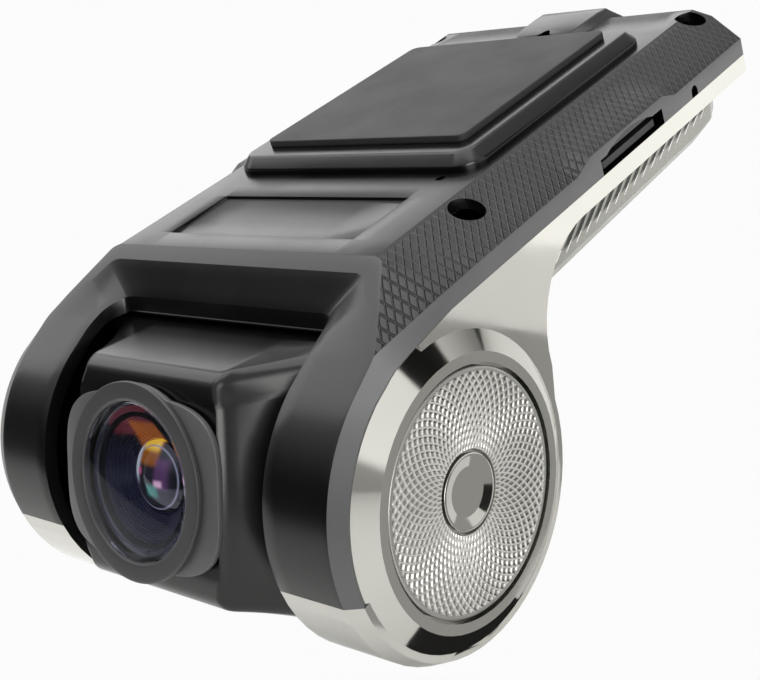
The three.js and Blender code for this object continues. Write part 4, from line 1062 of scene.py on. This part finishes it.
station_x = np.concatenate([[0, 5], np.linspace(8.9, DRUM_HALF, 22)])
share = np.clip((station_x - BLOCK_HALF) / (DRUM_HALF - BLOCK_HALF), 0, 1)
outlines = [
    block_outline(front, top)
    for front, top in zip(block_front(station_x), BLOCK_TOP + 1.5 * share)
]
half = np.stack([
    np.column_stack([np.full(len(o), x), -o[:, 0], o[:, 1]]) for x, o in zip(station_x, outlines)
])
bulge = 1.75 * np.clip(1 - (half[..., 2] / 9.4) ** 2, 0, 1) * np.clip(-half[..., 1] / 8, 0, 1)
half[..., 0] += bulge * np.where(station_x > 5, 1 - share, 0)[:, None]
whole = np.concatenate([half[::-1] * [-1, 1, 1], half[1:]])
lens_hole = about_lens(turned([(0, 3), (8.3, 3), (8.3, 20), (0, 20)], 96))
block_mesh = cut_by(solid_of("blank", capped(whole), on_module), [lens_hole], on_module)
finished(
    "module_block", block_mesh, "lens_module", black_matt, ["module_front_shell"], 38
)


# %% face plate, bezel and glass
def plate_radius(turn):
    """Edge of the face plate seen from the lens axis: a rectangle with bulging sides,
    r = (|cos t / 11|^n + |sin t / 8|^n)^(-1/n), never less than the ring under the bezel."""
    power = 3.6
    across = np.abs(np.cos(turn) / 11.0) ** power + np.abs(np.sin(turn) / 8.0) ** power
    return np.maximum(across ** (-1 / power), 9.05)


turn = np.linspace(0, 2 * math.pi, 256, endpoint=False)
edge = plate_radius(turn)
rings = [
    (8.2 + 0 * turn, 15.8), (edge - 0.1, 15.8), (edge, 15.95), (edge, 16.38),
    (edge - 0.05, 16.46), (edge - 0.16, 16.5), (8.2 + 0 * turn, 16.5),
]
plate_grid = np.stack([
    np.column_stack([r * np.cos(turn), np.full(len(turn), -d), r * np.sin(turn)]) for r, d in rings
])

bezel_profile = eased(
    [(7.45, 15.9), (8.0, 15.9), (8.0, 16.78), (9.3, 16.78), (9.3, 17.22), (9.1, 17.27),
     (7.72, 17.27), (7.45, 17.12)],
    [0.02, 0.02, 0.05, 0.08, 0.1, 0.1, 0.08, 0.1], 3)
bezel_grid = about_lens(turned(bezel_profile, 192))

rise = np.linspace(0, 1, 24)
dome = np.column_stack([7.3 * (1 - rise), 17.12 + 0.5 * (1 - (1 - rise) ** 2)])
under = np.column_stack([7.3 * rise, 16.45 - 0.4 * rise**2])
glass_grid = about_lens(turned(np.concatenate([under, dome]), 128))

funnel_steps = np.linspace(0, 1, 13)
funnel_r = np.repeat(6.35 - 2.75 * funnel_steps**0.9, 2)[:-1]
funnel_d = np.repeat(15.75 - 2.1 * funnel_steps, 2)[1:]
front_side = np.column_stack([funnel_r, funnel_d])
back_side = [(3.45, 13.2), (5.7, 13.2), (6.9, 15.4), (6.9, 15.95), (6.45, 15.95)]
baffle_grid = about_lens(turned(np.concatenate([front_side, back_side]), 128))

inner_dome = np.column_stack([3.42 * (1 - rise), 13.75 + 1.15 * (1 - (1 - rise) ** 2)])
inner_back = [(0, 12.6), (3.42, 12.6)]
inner_grid = about_lens(turned(np.concatenate([inner_back, inner_dome]), 96))

lens_pieces = [  # name, grid, slot, finish, CAD node, crisp above, whether the grid is a ring
    ("lens_plate", plate_grid, "black_gloss", plate_lit_black, "face_plate", 35, True),
    ("lens_ring", bezel_grid, "black_gloss", ring_lit_black, "lens_bezel", 35, True),
    ("cover_glass", glass_grid, "lens_glass", cover_glass, "front_glass", 50, False),
    ("light_baffle", baffle_grid, "black_gloss", baffle_black, "retaining_ring", 25, True),
    ("inner_element", inner_grid, "lens_glass", coated_element, "middle_lens", 50, False),
]
for name, grid, slot, material, node, sharp, closed in lens_pieces:
    piece(name, grid, "lens_module", material, [node], sharp, closed=closed)

# %% [markdown]
# ## Mounting plate and foam pad
#
# Both are slabs with a rounded outline. The outline is repeated at several levels, each with its
# own inset, and the last level closes in a pole at the middle.

# %% slabs


def slab(outline, levels):
    """Rings of one outline, each moved in by its level's inset and set at its level's height."""
    return capped([
        np.column_stack([moved_in(outline, inset), np.full(len(outline), z)])
        for inset, z in levels
    ])


low, high = box_mm("mount_bracket")
side = eased([(0, low[2]), (0, low[2] + 0.6), (1.1, high[2]), (2, high[2])], 0.22, 4, False)
plate_grid = slab(rounded_rectangle(high[0], low[1], high[1], 3), side)
piece("plate", plate_grid, "housing", black_matt, ["mount_bracket"])

low, high = box_mm("adhesive_pad")
side = eased([(0.05, low[2]), (0, low[2] + 0.1), (0, high[2] - 0.02), (0.4, high[2])], 0.1, 3, False)
pad_grid = slab(rounded_rectangle(high[0], low[1], high[1], 1), side)
foam = piece("pad", pad_grid, "housing", pad_foam, ["adhesive_pad"])

# %% [markdown]
# ## Dials
#
# The dial's texture is a guilloche: two mirrored fans of circles that pass through the centre. At
# radius r such a circle of diameter D stands at the angle arccos(r / D), so the two families of
# lines are whole values of a and b below. Thin ridges follow the lines and a pit fills each cell.
# Their colour carries painted light: the ridges are painted bright as a highlight, and a third of
# each cell is painted dark as shade.

# %% dial inserts and hub caps
dial_plate, tree, shader = finish("dial_plating", Metallic=0.75)
dial_painted_light = add(tree, "ShaderNodeAttribute", {"attribute_name": "painted_light"}).outputs["Fac"]
# From painted shade, nearly black, to a painted highlight on the ridges.
dial_colour = mix_colour(tree, dial_painted_light, (0.01, 0.01, 0.009), (0.74, 0.73, 0.69))
tree.links.new(dial_colour, shader.inputs["Base Color"])
worn(tree, shader, 0.3, 0.26, 0.34)

DIAL_LINES = 64
DIAL_CIRCLE = 14.2
dial_low, dial_high = box_mm("dial_insert_right")
dial_radius, dial_back, dial_front = dial_high[1], dial_low[0], dial_high[0]
DIAL_BORE = 3.83
DIAL_DISH = 0.5
PATTERN_CELLS = 14


def dial_surface(radius, turn):
    """Height in mm and painted light 0..1 of the dial. a and b are N/2pi (t +- arccos(r / D)); the
    ridge is exp(-(d / w)^4) of the distance d to the nearest line of either family and the rest is a
    pit; the ridges are painted bright as a highlight and the third of each cell next to its first
    line is painted dark as shade; the outer ring is level."""
    fan = np.arccos(radius / DIAL_CIRCLE)
    a = DIAL_LINES / (2 * math.pi) * (turn + fan)
    b = DIAL_LINES / (2 * math.pi) * (turn - fan)
    slant = np.sqrt(1 - (radius / DIAL_CIRCLE) ** 2)
    width = 2 * math.pi / DIAL_LINES * radius * slant
    ridge = np.maximum(*[np.exp(-((np.abs(v - np.round(v)) * width / 0.1) ** 4)) for v in (a, b)])
    inside = np.floor(a) - np.floor(b) >= PATTERN_CELLS
    painted_shade = np.clip((0.36 - (a - np.floor(a))) * 12, 0, 1) * (1 - ridge)
    share = (radius - DIAL_BORE) / (dial_radius - DIAL_BORE)
    dish = dial_front - DIAL_DISH * (1 - share)
    depth = np.interp(radius, [DIAL_BORE, 6, 10.5], [0.04, 0.08, 0.13])
    height = dish - 0.1 + np.where(inside, 0.06 * ridge - depth * (1 - ridge), 0.03)
    painted_light = np.where(inside, 0.42 + 0.58 * ridge - 0.40 * painted_shade, 0.5)
    return height, painted_light


def dial_piece(name, side, node):
    """The patterned face as a polar grid, closed by a rim, a flat back and the bore."""
    columns = 880
    radius = np.concatenate([np.linspace(DIAL_BORE + 0.03, 10.7, 84), [10.8, 11.05, 11.16]])
    turn = np.linspace(0, 2 * math.pi, columns, endpoint=False)
    r, t = np.meshgrid(radius, turn, indexing="ij")
    height, painted_light = dial_surface(r, t)
    painted_light[-3:] = 0.5
    height[-3:] = dial_front - np.array([0.07, 0.07, 0.1])[:, None]
    rim = np.array([
        (dial_radius, dial_front - 0.18), (dial_radius, dial_back), (DIAL_BORE, dial_back),
        (DIAL_BORE, dial_front - DIAL_DISH - 0.15),
    ])
    rim_r, rim_x = rim.T[..., None] * np.ones(columns)
    r = np.concatenate([r, rim_r])
    x = np.concatenate([height, rim_x])
    grid = np.stack([side * x, r * np.cos(turn), r * np.sin(turn)], axis=-1)
    made = piece(name, grid, "housing", dial_plate, [node], 60, 1e-9, closed=True)
    # Painted highlight and painted shade of each point; the rim's 0.5 is neither.
    painted_lights = np.concatenate([painted_light, np.full(rim_r.shape, 0.5)]).ravel()
    shade = made.data.attributes.new("painted_light", "FLOAT", "POINT")
    shade.data.foreach_set("value", painted_lights.astype(np.float32))


dial_piece("dial_right", 1, "dial_insert_right")
dial_piece("dial_left", -1, "dial_insert_left")

hub_profile = eased(
    [(0, 24.72), (3.5, 24.72), (3.53, 25.42), (3.3, 25.45), (2.25, 25.17), (2.15, 25.17),
     (0, 25.17)], 0.05, 3, False)
for side, end in ((1, "right"), (-1, "left")):
    grid = about_x(turned(hub_profile, 96)) * [side, 1, 1]
    name, node = f"hub_face_{end}", f"hub_cap_{end}"
    piece(name, grid, "housing", bright_plate, [node], 20)

# %% [markdown]
# ## Carried-over pieces
#
# The pieces inside the housing show only through gaps and when a shell is lifted off. Their CAD
# shapes stay, and each gets the finish of its material slot.

# %% finishes for the CAD nodes that stay
slot_finishes = [
    (circuit_board, "main_board sensor_board"),
    (chip_black, "micro_sd_card processor_chip memory_chip power_inductor image_sensor"),
    (bright_steel, "card_socket heat_sink capacitor_right capacitor_left microphone reset_switch"
     " pivot_pin_right pivot_pin_left board_screw_front board_screw_rear"
     " shell_screw_front_right shell_screw_rear_right shell_screw_front_left"
     " shell_screw_rear_left module_screw_right module_screw_left"),
    (black_rubber, "cable_grommet friction_ring_right friction_ring_left"),
    (ribbon_amber, "flex_ribbon"),
    (ivory_plastic, "thermal_pad cable_header ribbon_connector reset_plunger sensor_connector"),
    (black_matt, "lens_barrel lens_holder"),
    (lens_glass, "rear_lens ir_filter"),
]
for material, names in slot_finishes:
    for name in names.split():
        mesh = frame["nodes"][name].data
        mesh.materials.clear()
        mesh.materials.append(material)
        mesh.shade_smooth()
        mesh.set_sharp_from_angle(angle=math.radians(30))
print("carried over:", sum(len(names.split()) for _, names in slot_finishes), "nodes")
